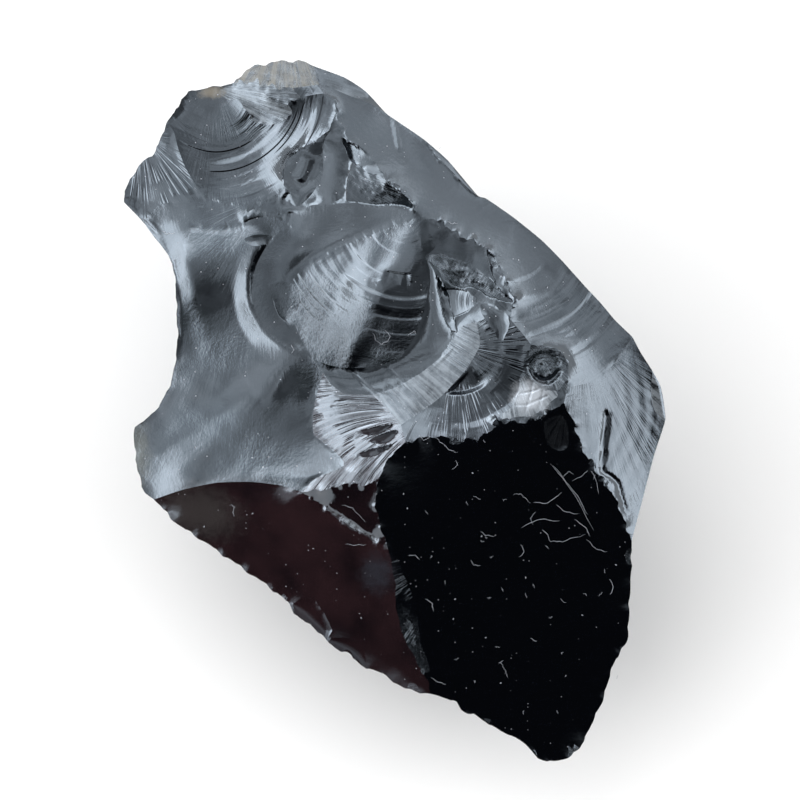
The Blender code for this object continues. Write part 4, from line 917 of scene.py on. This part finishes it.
def crossings(scars, place, edges, number):
    # where the rim between two scars crosses each edge, as a share of the edge and as x and y
    start, end = edges.T
    run = place[end] - place[start]
    low, high = np.zeros(len(edges)), np.ones(len(edges))
    for _ in range(stone["cutSteps"]):
        middle = (low + high) / 2
        x, y = (place[start] + run * middle[:, None]).T
        same = whichScar(scars, x, y) == number[start]
        low, high = np.where(same, middle, low), np.where(same, high, middle)
    share = (low + high) / 2
    return share, place[start] + run * share[:, None]


def cutAtRims(scars, place, faces, number, rim):
    # cut each triangle whose corners lie in different scars, so that the rims are edges of the mesh
    edges, edgeOf = edgesOf(faces)
    split = np.nonzero(number[edges[:, 0]] != number[edges[:, 1]])[0]
    start, end = edges[split].T
    later = np.maximum(number[start], number[end])
    owner = number.copy()

    # points close to a rim move onto it, which keeps the triangles from going thin
    share, crossed = crossings(scars, place, edges[split], number)
    near = np.minimum(share, 1 - share)
    point = np.where(share < 0.5, start, end)
    order = np.argsort(-near)
    move = order[(near[order] < stone["moveShare"]) & ~rim[point[order]]]
    place[point[move]], owner[point[move]] = crossed[move], later[move]

    # every other crossing is a new point, which belongs to the scar that broke later
    share, crossed = crossings(scars, place, edges[split], number)
    share = np.where(rim[start] & rim[end], np.round(share), share)
    fresh = (share > stone["snapShare"]) & (share < 1 - stone["snapShare"])
    crossing = np.full(len(edges), -1)
    crossing[split] = np.where(share < 0.5, start, end)
    crossing[split[fresh]] = len(place) + np.arange(fresh.sum())
    place, owner = np.vstack([place, crossed[fresh]]), np.concatenate([owner, later[fresh]])

    cut, scar = crossing[edgeOf], number[faces]
    kinds = 1 + (scar[:, 0] != scar[:, 1]) + ((scar[:, 2] != scar[:, 0]) & (scar[:, 2] != scar[:, 1]))
    kinds[(kinds == 3) & (cut < len(number)).all(1)] = 1    # every cut has moved to a corner
    parts = [(faces[kinds == 1], scar[kinds == 1, 0])]

    # two corners in one scar: the odd corner is cut off, and the rest is two triangles
    face, cuts, scars3 = faces[kinds == 2], cut[kinds == 2], scar[kinds == 2]
    odd = np.where(scars3[:, 1] == scars3[:, 2], 0, np.where(scars3[:, 0] == scars3[:, 2], 1, 2))
    row = np.arange(len(face))
    tip, left, right = (face[row, (odd + k) % 3] for k in range(3))
    nearLeft, nearRight = cuts[row, odd], cuts[row, (odd + 2) % 3]
    rest = scars3[row, (odd + 1) % 3]
    parts.append((np.column_stack([tip, nearLeft, nearRight]), scars3[row, odd]))
    snapped = (nearLeft == tip)[:, None]
    parts.append((np.where(snapped, np.column_stack([nearLeft, left, nearRight]),
                           np.column_stack([nearLeft, left, right])), rest))
    parts.append((np.where(snapped, np.column_stack([left, right, nearRight]),
                           np.column_stack([nearLeft, right, nearRight])), rest))

    # three scars meet at a new middle point
    face, cuts, scars3 = faces[kinds == 3], cut[kinds == 3], scar[kinds == 3]
    middle = len(place) + np.arange(len(face))
    place = np.vstack([place, (place[cuts].mean(1) + place[face].mean(1)) / 2])
    owner = np.concatenate([owner, scars3.max(1)])
    for k in range(3):
        parts.append((np.column_stack([face[:, k], cuts[:, k], middle]), scars3[:, k]))
        parts.append((np.column_stack([face[:, k], middle, cuts[:, k - 1]]), scars3[:, k]))

    faces, number = np.vstack([part for part, _ in parts]), np.concatenate([part for _, part in parts])
    real = (faces[:, 0] != faces[:, 1]) & (faces[:, 1] != faces[:, 2]) & (faces[:, 2] != faces[:, 0])
    return place, faces[real], number[real], owner


def soften(place, z, faces, held):
    # near each soft line a point's height is drawn to its neighbours' mean again and again, which rounds
    # the fold; the outline holds still
    edges = edgesOf(faces)[0]
    for name, wide in softLines.items():
        path = line(name)[:, :2]
        (x0, y0), (x1, y1) = path.min(0) - wide, path.max(0) + wide
        x, y = place.T
        near = np.nonzero((x > x0) & (x < x1) & (y > y0) & (y < y1))[0]
        gap = np.min(np.hypot(x[near, None] - path[:, 0], y[near, None] - path[:, 1]), axis=1)
        pull = np.zeros(len(z))
        pull[near] = grow(-gap, -wide, -0.3 * wide)
        pull[held] = 0
        band = edges[(pull[edges] > 0).any(1)]
        count = np.maximum(np.bincount(band.ravel(), minlength=len(z)), 1)
        for _ in range(int(stone["softPasses"] * wide)):
            total = (np.bincount(band[:, 0], z[band[:, 1]], len(z))
                     + np.bincount(band[:, 1], z[band[:, 0]], len(z)))
            z = z + stone["softPull"] * pull * (total / count - z)
    return z


def surface(scars, outline, count, finer=None):
    # one side of the stone: points, triangles, the scar of each triangle, and the rim's points; finer says
    # in which scars the triangles are halved
    ring, angle, faces = roundGrid(count)
    length, edgeZ = reach(outline, angle)
    # inside, the rings follow a smoothed outline, so that its steep turns don't shear the grid
    smooth = np.mean([reach(outline, (angle + turn * k / stone["ringRays"]) % turn)[0] for k in range(-3, 4)],
                     axis=0)
    length = ring * smooth + ring ** stone["ringPull"] * (length - smooth)
    place = np.column_stack([stone["gridCentre"][0] + length * np.cos(angle),
                             stone["gridCentre"][1] + length * np.sin(angle)])
    rim = ring > 1 - 1e-9
    number = whichScar(scars, *place.T)
    if finer:
        fine = np.array([finer(scar) for scar in scars])
        known = len(place)
        place, faces = refine(place, faces, fine[number[faces]].any(1), rim)
        number = np.concatenate([number, whichScar(scars, *place[known:].T)])
    held = np.zeros(len(place), bool)
    held[:len(rim)] = rim
    place, faces, number, owner = cutAtRims(scars, place, faces, number, held)
    held = np.concatenate([held, np.zeros(len(place) - len(held), bool)])
    z = floorHeight(scars, *place.T, owner)
    later = rim & np.array(["Chip" in scar.name for scar in scars])[owner[:len(rim)]]
    z[:len(rim)][rim & ~later] = edgeZ[rim & ~later]
    z[:len(rim)][later] = np.minimum(z[:len(rim)][later], edgeZ[later])
    if finer:
        z = soften(place, z, faces, held)
    relief = reliefHeight(scars, *place.T, owner)
    z = z + np.where(held, 0, relief)
    return np.column_stack([place, z]), faces, number, np.nonzero(held)[0]


def halveRim(faces, number, rim, between):
    # split every triangle that has an edge between two neighbouring rim points at the point between
    middleOf = {}
    for k, point in enumerate(between):
        middleOf[rim[k], rim[(k + 1) % len(rim)]] = point
        middleOf[rim[(k + 1) % len(rim)], rim[k]] = point
    onRim = np.isin(faces, rim).sum(1) > 1
    result, kept = [], []
    for (a, b, c), scar in zip(faces[onRim].tolist(), number[onRim].tolist()):
        pieces = [(a, b, c)]
        for first, second, third in ((a, b, c), (b, c, a), (c, a, b)):
            if (first, second) in middleOf:
                middle = middleOf[first, second]
                pieces = [(first, middle, third), (middle, second, third)]
                break
        result += pieces
        kept += [scar] * len(pieces)
    return np.vstack([faces[~onRim], result]), np.concatenate([number[~onRim], kept])


def stoneSurface():
    # the closed stone: upper side and underside share the outline's points; centred on its base
    outline = loop(outlineLines)
    over, under = upperScars(), underScars(outline)
    print("scars:", len(over), "above,", len(under), "below")
    coarse = {"shoulder", "flank", "eastSlope", "slab", "brownSlope", "bay", "cheek"}
    top, topFaces, topNumber, topRim = surface(over, outline, stone["gridPoints"],
                                               lambda scar: scar.name not in coarse)
    low, lowFaces, lowNumber, lowRim = surface(under, outline, (stone["gridPoints"] + 1) // 2)
    low[:, 2] = np.maximum(low[:, 2], 0)

    def byAngle(points, rim):
        away = points[rim, :2] - stone["gridCentre"]
        return rim[np.argsort(np.arctan2(away[:, 1], away[:, 0]) % turn)]

    topRim, lowRim = byAngle(top, topRim), byAngle(low, lowRim)
    number = len(top) + np.arange(len(low))
    number[lowRim] = topRim[::2]
    lowFaces, lowNumber = halveRim(number[lowFaces][:, ::-1], lowNumber, topRim[::2], topRim[1::2])
    points = np.vstack([top, low])
    faces = np.vstack([topFaces, lowFaces])
    scarOf = np.concatenate([topNumber, lowNumber + len(over)])
    used, faces = np.unique(faces, return_inverse=True)
    points = points[used]
    shift = (points.min(0) + points.max(0))[:2] / 2
    points[:, :2] -= shift
    return points, faces.reshape(-1, 3), scarOf, over, under, shift


def meshObject(name, points, faces, material):
    # a mesh from points in millimetres and triangles
    mesh = bpy.data.meshes.new(name)
    mesh.vertices.add(len(points))
    mesh.vertices.foreach_set("co", (np.asarray(points) * mm).ravel())
    mesh.loops.add(faces.size)
    mesh.loops.foreach_set("vertex_index", faces.ravel())
    mesh.polygons.add(len(faces))
    mesh.polygons.foreach_set("loop_start", np.arange(len(faces)) * 3)
    mesh.polygons.foreach_set("use_smooth", np.ones(len(faces), bool))
    mesh.update(calc_edges=True)
    mesh.materials.append(material)
    obj = bpy.data.objects.new(name, mesh)
    bpy.context.scene.collection.objects.link(obj)
    return obj


def creases(mesh, points, faces, scarOf):
    # a rim is sharp where its two floors meet at an angle
    corner = points[faces]
    normal = np.cross(corner[:, 1] - corner[:, 0], corner[:, 2] - corner[:, 0])
    normal /= np.linalg.norm(normal, axis=1)[:, None] + 1e-12
    edges, edgeOf = edgesOf(faces)
    order = np.argsort(edgeOf.ravel(), kind="stable")
    pair = (order // 3).reshape(-1, 2)
    bend = (normal[pair[:, 0]] * normal[pair[:, 1]]).sum(1)
    sharp = (scarOf[pair[:, 0]] != scarOf[pair[:, 1]]) & (bend < math.cos(math.radians(stone["creaseAngle"])))
    made = np.empty(2 * len(mesh.edges), int)
    mesh.edges.foreach_get("vertices", made)
    made = np.sort(made.reshape(-1, 2), 1)
    key = made[:, 0] * len(points) + made[:, 1]
    flag = np.isin(key, (edges[:, 0] * len(points) + edges[:, 1])[sharp])
    mesh.attributes.new("sharp_edge", "BOOLEAN", "EDGE").data.foreach_set("value", flag)


def marks(mesh, scars, scarOf):
    # what the glass needs to know about each scar: where it was struck, and how its fine marks show
    struck = np.array([(*scar.look.get("impact", scar.rim.mean(0)), 0) for scar in scars], float)
    mesh.attributes.new("impact", "FLOAT_VECTOR", "FACE").data.foreach_set("vector", struck[scarOf].ravel())
    for mark in ("rings", "hackles", "fine", "curl", "grain", "frost", "crust", "tint", "strands"):
        value = np.array([scar.look.get(mark, mark == "fine") for scar in scars], float)
        mesh.attributes.new(mark, "FLOAT", "FACE").data.foreach_set("value", value[scarOf])
    for name in arcs:
        value = np.array([scar.name == name for scar in scars], float)
        mesh.attributes.new(name, "FLOAT", "FACE").data.foreach_set("value", value[scarOf])


class Socket:
    # a value or vector in a node tree; arithmetic on it adds Math or Vector Math nodes

    def __init__(self, tree, socket):
        self.tree, self.socket = tree, socket

    def maths(self, operation, *others):
        vector = any(isinstance(o, Socket) and o.socket.type == "VECTOR" for o in (self, *others))
        kind = "ShaderNodeVectorMath" if vector else "ShaderNodeMath"
        return addNode(self.tree, kind, {"operation": operation}, self, *others)

    def __add__(self, other):
        return self.maths("ADD", other)

    def __radd__(self, other):
        return self.maths("ADD", other)

    def __sub__(self, other):
        return self.maths("SUBTRACT", other)

    def __rsub__(self, other):
        return self * -1 + other

    def __mul__(self, other):
        if self.socket.type == "VECTOR" and (not isinstance(other, Socket) or other.socket.type != "VECTOR"):
            node = addNode(self.tree, "ShaderNodeVectorMath", {"operation": "SCALE"}, self)
            link(self.tree, node.socket.node.inputs["Scale"], other)
            return node
        return self.maths("MULTIPLY", other)

    def __rmul__(self, other):
        return self * other

    def sin(self):
        return self.maths("SINE")

    def abs(self):
        return self.maths("ABSOLUTE")

    def least(self, other):
        return self.maths("MINIMUM", other)

    def most(self, other):
        return self.maths("MAXIMUM", other)

    def rise(self, low, high):
        # 0 below low, 1 above high, with a smooth rise between
        settings = {"interpolation_type": "SMOOTHSTEP"}
        return addNode(self.tree, "ShaderNodeMapRange", settings, self, low, high, 0.0, 1.0)

    def part(self, axis):
        # one of a vector's components
        node = addNode(self.tree, "ShaderNodeSeparateXYZ", {}, self).socket.node
        return Socket(self.tree, node.outputs[axis])

    def size(self):
        # a vector's length
        node = addNode(self.tree, "ShaderNodeVectorMath", {"operation": "LENGTH"}, self).socket.node
        return Socket(self.tree, node.outputs["Value"])

    def noise(self, scale, detail=2.0, rough=0.5):
        # -1 to 1, about 0
        node = self.tree.nodes.new("ShaderNodeTexNoise")
        for key, value in (("Vector", self), ("Scale", scale), ("Detail", detail), ("Roughness", rough)):
            link(self.tree, node.inputs[key], value)
        return (Socket(self.tree, node.outputs["Fac"]) - 0.5) * 2.0


def link(tree, socket, value):
    # feed a socket from another one, or set it
    if isinstance(value, Socket):
        tree.links.new(value.socket, socket)
    else:
        socket.default_value = value


def addNode(tree, kind, settings, *inputs):
    # a node with its settings made first, then its enabled inputs in turn; gives its first enabled output
    node = tree.nodes.new(kind)
    for key, value in settings.items():
        setattr(node, key, value)
    free = [socket for socket in node.inputs if socket.enabled]
    for socket, value in zip(free, inputs):
        link(tree, socket, value)
    return Socket(tree, next(socket for socket in node.outputs if socket.enabled))


def mix(tree, share, first, second):
    # a colour between two colours
    node = tree.nodes.new("ShaderNodeMix")
    node.data_type = "RGBA"
    link(tree, node.inputs[0], share)
    link(tree, node.inputs[6], first if isinstance(first, Socket) else (*first, 1))
    link(tree, node.inputs[7], second if isinstance(second, Socket) else (*second, 1))
    return Socket(tree, node.outputs[2])


def attribute(tree, name, output="Fac"):
    # what marks() wrote on the mesh
    node = tree.nodes.new("ShaderNodeAttribute")
    node.attribute_name = name
    return Socket(tree, node.outputs[output])


glass = {
    "black": (0.0008, 0.001, 0.0018),
    "brown": (0.017, 0.008, 0.0095),    # where it lets light through
    "frosted": (0.13, 0.145, 0.16),
    "crushed": (0.1, 0.088, 0.066),
    "dusty": (0.3, 0.31, 0.34),
    "mirror": (0.73, 0.86, 1.0),        # the tint of what it mirrors
    "index": 1.92,
    "polish": 0.035,                    # the least roughness
    # the height of each fine mark at full strength, in millimetres
    "ringHigh": 0.07, "hackleHigh": 0.035, "grainHigh": 0.05, "crumbHigh": 0.1,
    "waveHigh": 0.006, "skinHigh": 0.004,
}


def glassMaterial(shift):
    # black volcanic glass: clear polish, with the fine marks of each fracture in relief
    material = bpy.data.materials.new("obsidianGlass")
    material.use_nodes = True
    tree = material.node_tree
    shader = next(node for node in tree.nodes if node.type == "BSDF_PRINCIPLED")
    coords = Socket(tree, tree.nodes.new("ShaderNodeTexCoord").outputs["Object"]) * (1 / mm)
    coords = coords + (*shift, 0.0)     # back to the millimetres of the tables above

    # distance and direction from where the scar was struck; the direction curls with the distance
    flat = (coords - attribute(tree, "impact", "Vector")).maths("MULTIPLY", (1.0, 1.0, 0.0))
    far = flat.size()
    straight = flat.part("Y").maths("ARCTAN2", flat.part("X"))
    angle = straight + far * attribute(tree, "curl")
    way = addNode(tree, "ShaderNodeCombineXYZ", {}, angle.maths("COSINE"), angle.sin(), 0.0)
    way = way * attribute(tree, "fine")
    along = addNode(tree, "ShaderNodeCombineXYZ", {}, 0.0, 0.0, far * 0.12)

    # rings: noise of the distance alone, wandering and coming and going
    wander = coords.noise(0.18, 1.0)
    ringPath = addNode(tree, "ShaderNodeCombineXYZ", {}, far * 1.3 + wander * 1.2, wander * 0.6, 0.0)
    rings = ringPath.noise(1.0, 3.0, 0.6) * (coords + (31.0, 7.0, 3.0)).noise(0.16, 1.0).rise(-0.3, 0.4)

    # hackles: noise drawn out away from the blow, with sharp ribs where it crosses zero
    spread = (way * 17.0 + along).noise(1.0, 3.0, 0.6)
    thin = (way * 40.0 + along * 1.5).noise(1.0, 1.0)
    sharp = 1.0 - (thin.abs() * 5.0).least(1.0)
    patchy = (coords + (5.0, 13.0, 1.0)).noise(0.2, 2.0).rise(-0.3, 0.3)
    fans = (spread + sharp * 0.5 + thin * 0.3) * patchy

    # strands: sparse thin ridges or grooves, of one width, where slow noise of the direction crosses zero
    few = (way * 9.0 + along * 0.5).noise(1.0, 2.0)
    strands = (1.0 - few.abs() * far * 0.8).most(0.0)
    strands = strands * (coords + (1.0, 7.0, 2.0)).noise(0.4, 1.0).rise(-0.2, 0.2)

    grain = coords.noise(2.4, 4.0, 0.7)
    crumbs = coords.noise(1.1, 6.0, 0.7)
    ringShare, hackleShare = attribute(tree, "rings"), attribute(tree, "hackles")
    grainShare, crustShare = attribute(tree, "grain"), attribute(tree, "crust")
    grainy = grainShare * (coords + (3.0, 3.0, 9.0)).noise(0.13, 2.0).rise(-0.3, 0.5)
    height = (rings * ringShare * glass["ringHigh"] + fans * hackleShare * glass["hackleHigh"]
              + grain * grainy * glass["grainHigh"] + crumbs * crustShare * glass["crumbHigh"]
              + strands * attribute(tree, "strands") + coords.noise(0.9, 2.0) * glass["waveHigh"]
              + grain * glass["skinHigh"])

    # single arcs: each is a step at its radius with a slow return, and fades out at both ends
    for name, steps in arcs.items():
        total = 0.0
        for radius, middle, half, high, wide in steps:
            turned = ((straight - math.radians(middle) + 3 * math.pi).maths("MODULO", turn) - math.pi).abs()
            window = 1.0 - turned.rise(math.radians(half) * 0.55, math.radians(half))
            wavy = far + wander * 0.12
            back = wavy.rise(radius + wide, radius + wide + 2)
            step = wavy.rise(radius - wide / 2, radius + wide / 2) - back
            total = step * window * high + total
        height = height + total * attribute(tree, name)
    bump = tree.nodes.new("ShaderNodeBump")
    bump.inputs["Distance"].default_value = 1.0
    link(tree, bump.inputs["Height"], height * mm)
    tree.links.new(bump.outputs["Normal"], shader.inputs["Normal"])

    # colour: nearly black or brown; pale where it is crushed, frosted, stained or dusty, and a painted
    # reflection as a pale bluish spot on the brown slope
    cloud = coords.noise(0.16, 3.0, 0.55)
    tint = attribute(tree, "tint") * cloud.rise(-0.9, 0.5)
    colour = mix(tree, tint, glass["black"], glass["brown"])
    frost = attribute(tree, "frost") * (spread + crumbs * 0.6).rise(-0.4, 0.5)
    colour = mix(tree, frost, colour, glass["frosted"])
    pale = crustShare * (crumbs * 0.6 + spread + 0.15).rise(-0.4, 0.6)
    colour = mix(tree, pale, colour, glass["crushed"])
    # the stains, one of which is a painted reflection: a pale bluish spot on the brown slope
    for at, size, shade in stainsAndReflection:
        gap = (coords - at).maths("DIVIDE", size).size() + crumbs * 0.5
        colour = mix(tree, 1.0 - gap.rise(0.2, 1.0), colour, shade)
    specks = tree.nodes.new("ShaderNodeTexVoronoi")
    link(tree, specks.inputs["Vector"], coords)
    specks.inputs["Scale"].default_value = 1.6
    spot = Socket(tree, specks.outputs["Distance"])
    luck = Socket(tree, specks.outputs["Color"]).part("X")
    dust = (1.0 - spot.rise(0.05, 0.13)) * luck.rise(0.72, 0.95)
    colour = mix(tree, dust, colour, glass["dusty"])
    tree.links.new(colour.socket, shader.inputs["Base Color"])
    smear = coords.noise(0.25, 3.0, 0.6).rise(-0.2, 0.6)
    roughness = smear * 0.05 + glass["polish"] + grainShare * 0.05 + frost * 0.15 + pale * 0.5 + dust * 0.3
    tree.links.new(roughness.socket, shader.inputs["Roughness"])
    shader.inputs["IOR"].default_value = glass["index"]
    shader.inputs["Specular Tint"].default_value = (*glass["mirror"], 1)
    return material


# each lamp or dark card of the room: the direction of its middle and half its width in degrees, the angles
# from the zenith between which it fades in and fades out, and how bright or how dark it is
lamps = [(0, 31, 52, 70, 100, 120, 2.4), (178, 40, 55, 64, 84, 96, 3.8), (120, 30, 30, 50, 80, 96, 2.0)]
southCards = [(280, 53, 6, 16, 170, 175, 0.72), (280, 53, 40, 54, 170, 175, 0.28)]
southSkirt = (276, 60, 52, 64, 170, 175, 0.7)
eastCard = (342, 22, 22, 32, 52, 60, 0.5)


def studio():
    # the room as the stone mirrors it: a pale ceiling, darker overhead and uneven, soft lamps and dark cards;
    # the camera itself sees plain white
    world = bpy.data.worlds.new("studio")
    world.use_nodes = True
    bpy.context.scene.world = world
    tree = world.node_tree
    background = next(node for node in tree.nodes if node.type == "BACKGROUND")
    output = next(node for node in tree.nodes if node.type == "OUTPUT_WORLD")
    ray = Socket(tree, tree.nodes.new("ShaderNodeTexCoord").outputs["Generated"])
    x, y, z = (ray.part(axis) for axis in "XYZ")
    degrees = 180 / math.pi
    around = y.maths("ARCTAN2", x) * degrees
    down = z.maths("ARCCOSINE") * degrees

    def patch(middle, half, low, lowFull, highFull, high, strength):
        # a soft patch of the sky
        off = (((around - (middle - 540.0)).maths("MODULO", 360.0)) - 180.0).abs()
        side = 1.0 - off.rise(half - 2.5, half + 2.5)
        return side * down.rise(low, lowFull) * (1.0 - down.rise(highFull, high)) * strength

    light = down.rise(0, 20) * 0.3 + down.rise(10, 55) * 0.9 + down.rise(60, 85) + 0.6
    south = patch(*southCards[0]) + patch(*southCards[1])
    for card in (south, patch(*eastCard), patch(*southSkirt)):
        light = light * (1.0 - card)
    unevenness = ray.noise(6.0, 3.0, 0.65).rise(-0.45, 0.45) * 0.9 + 0.5
    light = light * unevenness + 0.01
    for lamp in lamps:
        light = light + patch(*lamp)
    background.inputs["Color"].default_value = (1, 1, 1, 1)
    tree.links.new(light.socket, background.inputs["Strength"])
    plain = tree.nodes.new("ShaderNodeBackground")
    plain.inputs["Color"].default_value = (1, 1, 1, 1)
    choice = tree.nodes.new("ShaderNodeMixShader")
    path = tree.nodes.new("ShaderNodeLightPath")
    tree.links.new(path.outputs["Is Camera Ray"], choice.inputs[0])
    tree.links.new(background.outputs[0], choice.inputs[1])
    tree.links.new(plain.outputs[0], choice.inputs[2])
    tree.links.new(choice.outputs[0], output.inputs["Surface"])


def plainMaterial(name, colour):
    # a matt material of one colour
    material = bpy.data.materials.new(name)
    material.use_nodes = True
    shader = next(node for node in material.node_tree.nodes if node.type == "BSDF_PRINCIPLED")
    shader.inputs["Base Color"].default_value = (*colour, 1)
    shader.inputs["Roughness"].default_value = 0.9
    return material


bpy.context.scene.view_settings.view_transform = "Standard"
studio()

points, faces, scarOf, over, under, shift = stoneSurface()
print("stone:", len(points), "points,", len(faces), "triangles")
chunk = meshObject("obsidianStone", points, faces, glassMaterial(shift))
creases(chunk.data, points, faces, scarOf)
marks(chunk.data, over + under, scarOf)
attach(chunk, "root")
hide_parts("obsidian_chunk")


lint = {  # sizes in millimetres
    "radius": 0.023,        # of a thread
    "grainRadius": 0.055,
    "above": 0.03,          # how far a thread lies above the glass
    "wiggle": 0.06,         # the height of a thread's slow wave
    "wiggleTurn": 0.9,      # how far the wave goes on from point to point, in radians
    "jitter": 0.4,          # how far each point strays, as a share of the wave
    "sides": 5,
    "steps": 7,             # points between two given points of a thread
    "strays": 30,           # short threads that may fall between two corners of a field, if on the slab
    "field": [(2, -34), (25, 0)],
    "stray": (0.12, 0.35),  # the lengths of their straight runs
    "grainHalf": 0.1,       # half a grain's length
    "colour": (0.3, 0.32, 0.36),
}
fibres = [  # specks of lint that lie on the stone, each a line through these points in millimetres
    [(17.2, -5.5), (19.6, -8.5), (22.1, -13.0)], [(17.6, -5.8), (20.0, -8.8), (21.4, -11.2)],
    [(15.4, -9.9), (17.1, -9.8), (18.5, -8.7)], [(19.7, -7.5), (20.9, -6.8), (21.4, -6.3)],
    [(13.2, -9.0), (13.9, -8.9), (14.4, -9.3), (15.1, -9.9)], [(2.8, -2.5), (3.4, -3.0), (4.1, -2.5)],
    [(4.7, -2.8), (5.3, -3.3), (6.3, -4.1), (7.0, -4.3)], [(6.8, -5.2), (7.0, -5.7), (6.4, -6.2)],
    [(14.1, -12.7), (15.9, -11.8), (18.3, -11.9)],
    [(16.4, -12.9), (16.9, -13.3), (17.5, -14.2), (19.2, -14.0), (21.1, -13.4)],
    [(21.3, -14.0), (22.6, -15.1), (23.6, -15.3)], [(1.6, -15.8), (2.2, -15.7), (2.9, -16.2)],
    [(8.8, -9.2), (9.6, -9.5)], [(9.6, -13.1), (10.3, -13.5), (11.1, -13.6)],
    [(11.8, -27.7), (12.3, -28.4), (12.7, -29.4)], [(4.1, -29.4), (5.0, -29.9), (5.8, -30.1)],
    [(-18.1, -10.2), (-17.6, -10.4), (-17.8, -11.0), (-17.6, -11.4)],
    [(18.6, -7.2), (19.2, -6.5), (19.8, -6.7)], [(15.7, -10.9), (15.1, -11.6), (15.4, -12.3)],
    [(17.9, -10.1), (19.0, -10.9), (20.4, -11.1)], [(20.0, -11.8), (21.0, -12.5), (21.7, -13.6)],
    [(14.0, -14.5), (14.4, -15.3), (13.9, -15.9)], [(23.9, -18.4), (24.3, -19.2), (24.0, -20.1)],
    [(8.5, -16.2), (8.9, -16.8), (9.6, -16.8)], [(3.5, -20.6), (4.2, -21.0), (4.4, -21.9)],
    [(18.4, -20.6), (19.0, -21.0)], [(15.1, -25.0), (15.9, -25.3)],
    [(21.7, -6.3), (22.3, -7.4), (22.6, -8.9)], [(-1.0, 9.1), (-0.4, 8.5), (-0.8, 7.8), (-1.6, 7.6)],
    [(-2.3, 8.8), (-1.8, 7.9), (-1.1, 7.5)], [(-11.4, 7.5), (-11.0, 7.0), (-11.3, 6.6)],
    [(5.9, 21.0), (6.5, 20.8), (7.0, 20.9)], [(1.6, 8.5), (2.2, 9.0), (2.5, 8.7)],
    [(-5.7, -10.2), (-4.7, -10.4), (-4.0, -11.1), (-3.1, -12.0)],
    [(-5.3, -14.5), (-4.2, -14.6), (-3.0, -14.5)], [(-25.6, 20.1), (-25.0, 19.8), (-24.2, 20.0)],
]
grains = [(9.7, -13.6), (6.8, -20.6), (6.6, -22.8), (19.1, -29.2), (11.9, -30), (8.7, -6.6),
          (1.1, -8.9), (1.5, -10.5), (-15.6, -11.1), (-8.9, -15), (14.6, -18.2), (20.9, -22.4),
          (10.2, -24.9), (24.6, -16.8), (-21, -12.6), (-3.6, -22.7), (-13.7, 25.2), (-16.4, 4.1),
          (16.9, 13.8), (5.1, 29.2)]


def thread(points, draw, height):
    # a smooth curve through the points, laid on the stone with a little wiggle
    path = openCurve(np.array(points, float), lint["steps"])
    path += draw.normal(0, lint["wiggle"], path.shape) * lint["jitter"]
    path[:, 1] += lint["wiggle"] * np.sin(np.arange(len(path)) * lint["wiggleTurn"])
    return np.column_stack([path, height(*path.T)])


def tubes(paths, radii):
    # round threads along the paths, which taper to both ends
    points, faces, start, sides = [], [], 0, lint["sides"]
    around = np.arange(sides) / sides * turn
    for path, radius in zip(paths, radii):
        way = np.gradient(path, axis=0)
        way /= np.linalg.norm(way, axis=1)[:, None]
        across = np.column_stack([-way[:, 1], way[:, 0], np.zeros(len(way))])
        across /= np.linalg.norm(across, axis=1)[:, None]
        share = np.linspace(0, 1, len(path))
        thick = radius * np.minimum(1, 0.3 + 4 * np.minimum(share, 1 - share))[:, None, None]
        up = np.cross(way, across)
        ring = path[:, None] + thick * (across[:, None] * np.cos(around)[:, None]
                                        + up[:, None] * np.sin(around)[:, None])
        points.append(ring.reshape(-1, 3))
        i, j = (k.ravel() for k in np.mgrid[0:len(path) - 1, 0:sides])
        a, b = start + i * sides + j, start + i * sides + (j + 1) % sides
        faces += [np.column_stack([a, b, b + sides]), np.column_stack([a, b + sides, a + sides])]
        start += len(path) * sides
    return np.vstack(points), np.vstack(faces)


def lintObject(scars, shift):
    # the listed threads and grains, and short threads that fell anywhere on the slab
    draw = np.random.default_rng(3)

    def height(x, y):
        number = whichScar(scars, x, y)
        return floorHeight(scars, x, y, number) + reliefHeight(scars, x, y, number) + lint["above"]

    paths = [thread(points, draw, height) for points in fibres]
    radii = [lint["radius"] * draw.uniform(0.7, 1.1) for _ in fibres]
    for _ in range(lint["strays"]):
        at, way = draw.uniform(*lint["field"]), draw.uniform(0, turn)
        runs = draw.uniform(*lint["stray"], 3)[:, None]
        ways = way + draw.normal(0, 0.6, 3)
        steps = np.cumsum(runs * np.column_stack([np.cos(ways), np.sin(ways)]), axis=0)
        if whichScar(scars, at[:1], at[1:])[0] == list(firstScars).index("slab"):
            paths.append(thread(at + steps, draw, height))
            radii.append(lint["radius"] * 0.7)
    for at in grains:
        way = draw.uniform(0, turn)
        along = np.linspace(-1, 1, 4)[:, None] * lint["grainHalf"]
        path = np.array(at) + along * np.array([math.cos(way), math.sin(way)])
        paths.append(np.column_stack([path, height(*path.T)]))
        radii.append(lint["grainRadius"] * draw.uniform(0.6, 1.2))
    points, faces = tubes(paths, radii)
    points[:, :2] -= shift
    return meshObject("lint", points, faces, plainMaterial("paleLint", lint["colour"]))


lintPiece = lintObject(over, shift)
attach(lintPiece, "root")
print("lint:", len(lintPiece.data.polygons), "triangles")

room = {
    "floorHalf": 1500.0,                        # half the floor's side, in millimetres
    "paper": (0.8, 0.8, 0.8),
    "lens": 600,
    "cameraAt": (0.00064, 0.00137, 1.494),      # straight above the stone, in metres
}
floorPoints = np.array([(-1, -1, 0), (1, -1, 0), (1, 1, 0), (-1, 1, 0)]) * room["floorHalf"]
floor = meshObject("floor", floorPoints, np.array([(0, 1, 2), (0, 2, 3)]),
                   plainMaterial("paper", room["paper"]))
print("floor and room")

camera = bpy.data.objects.new("camera", bpy.data.cameras.new("camera"))
camera.data.lens = room["lens"]
camera.data.clip_start, camera.data.clip_end = 0.1, 10
camera.location = room["cameraAt"]
bpy.context.scene.collection.objects.link(camera)
bpy.context.scene.camera = camera
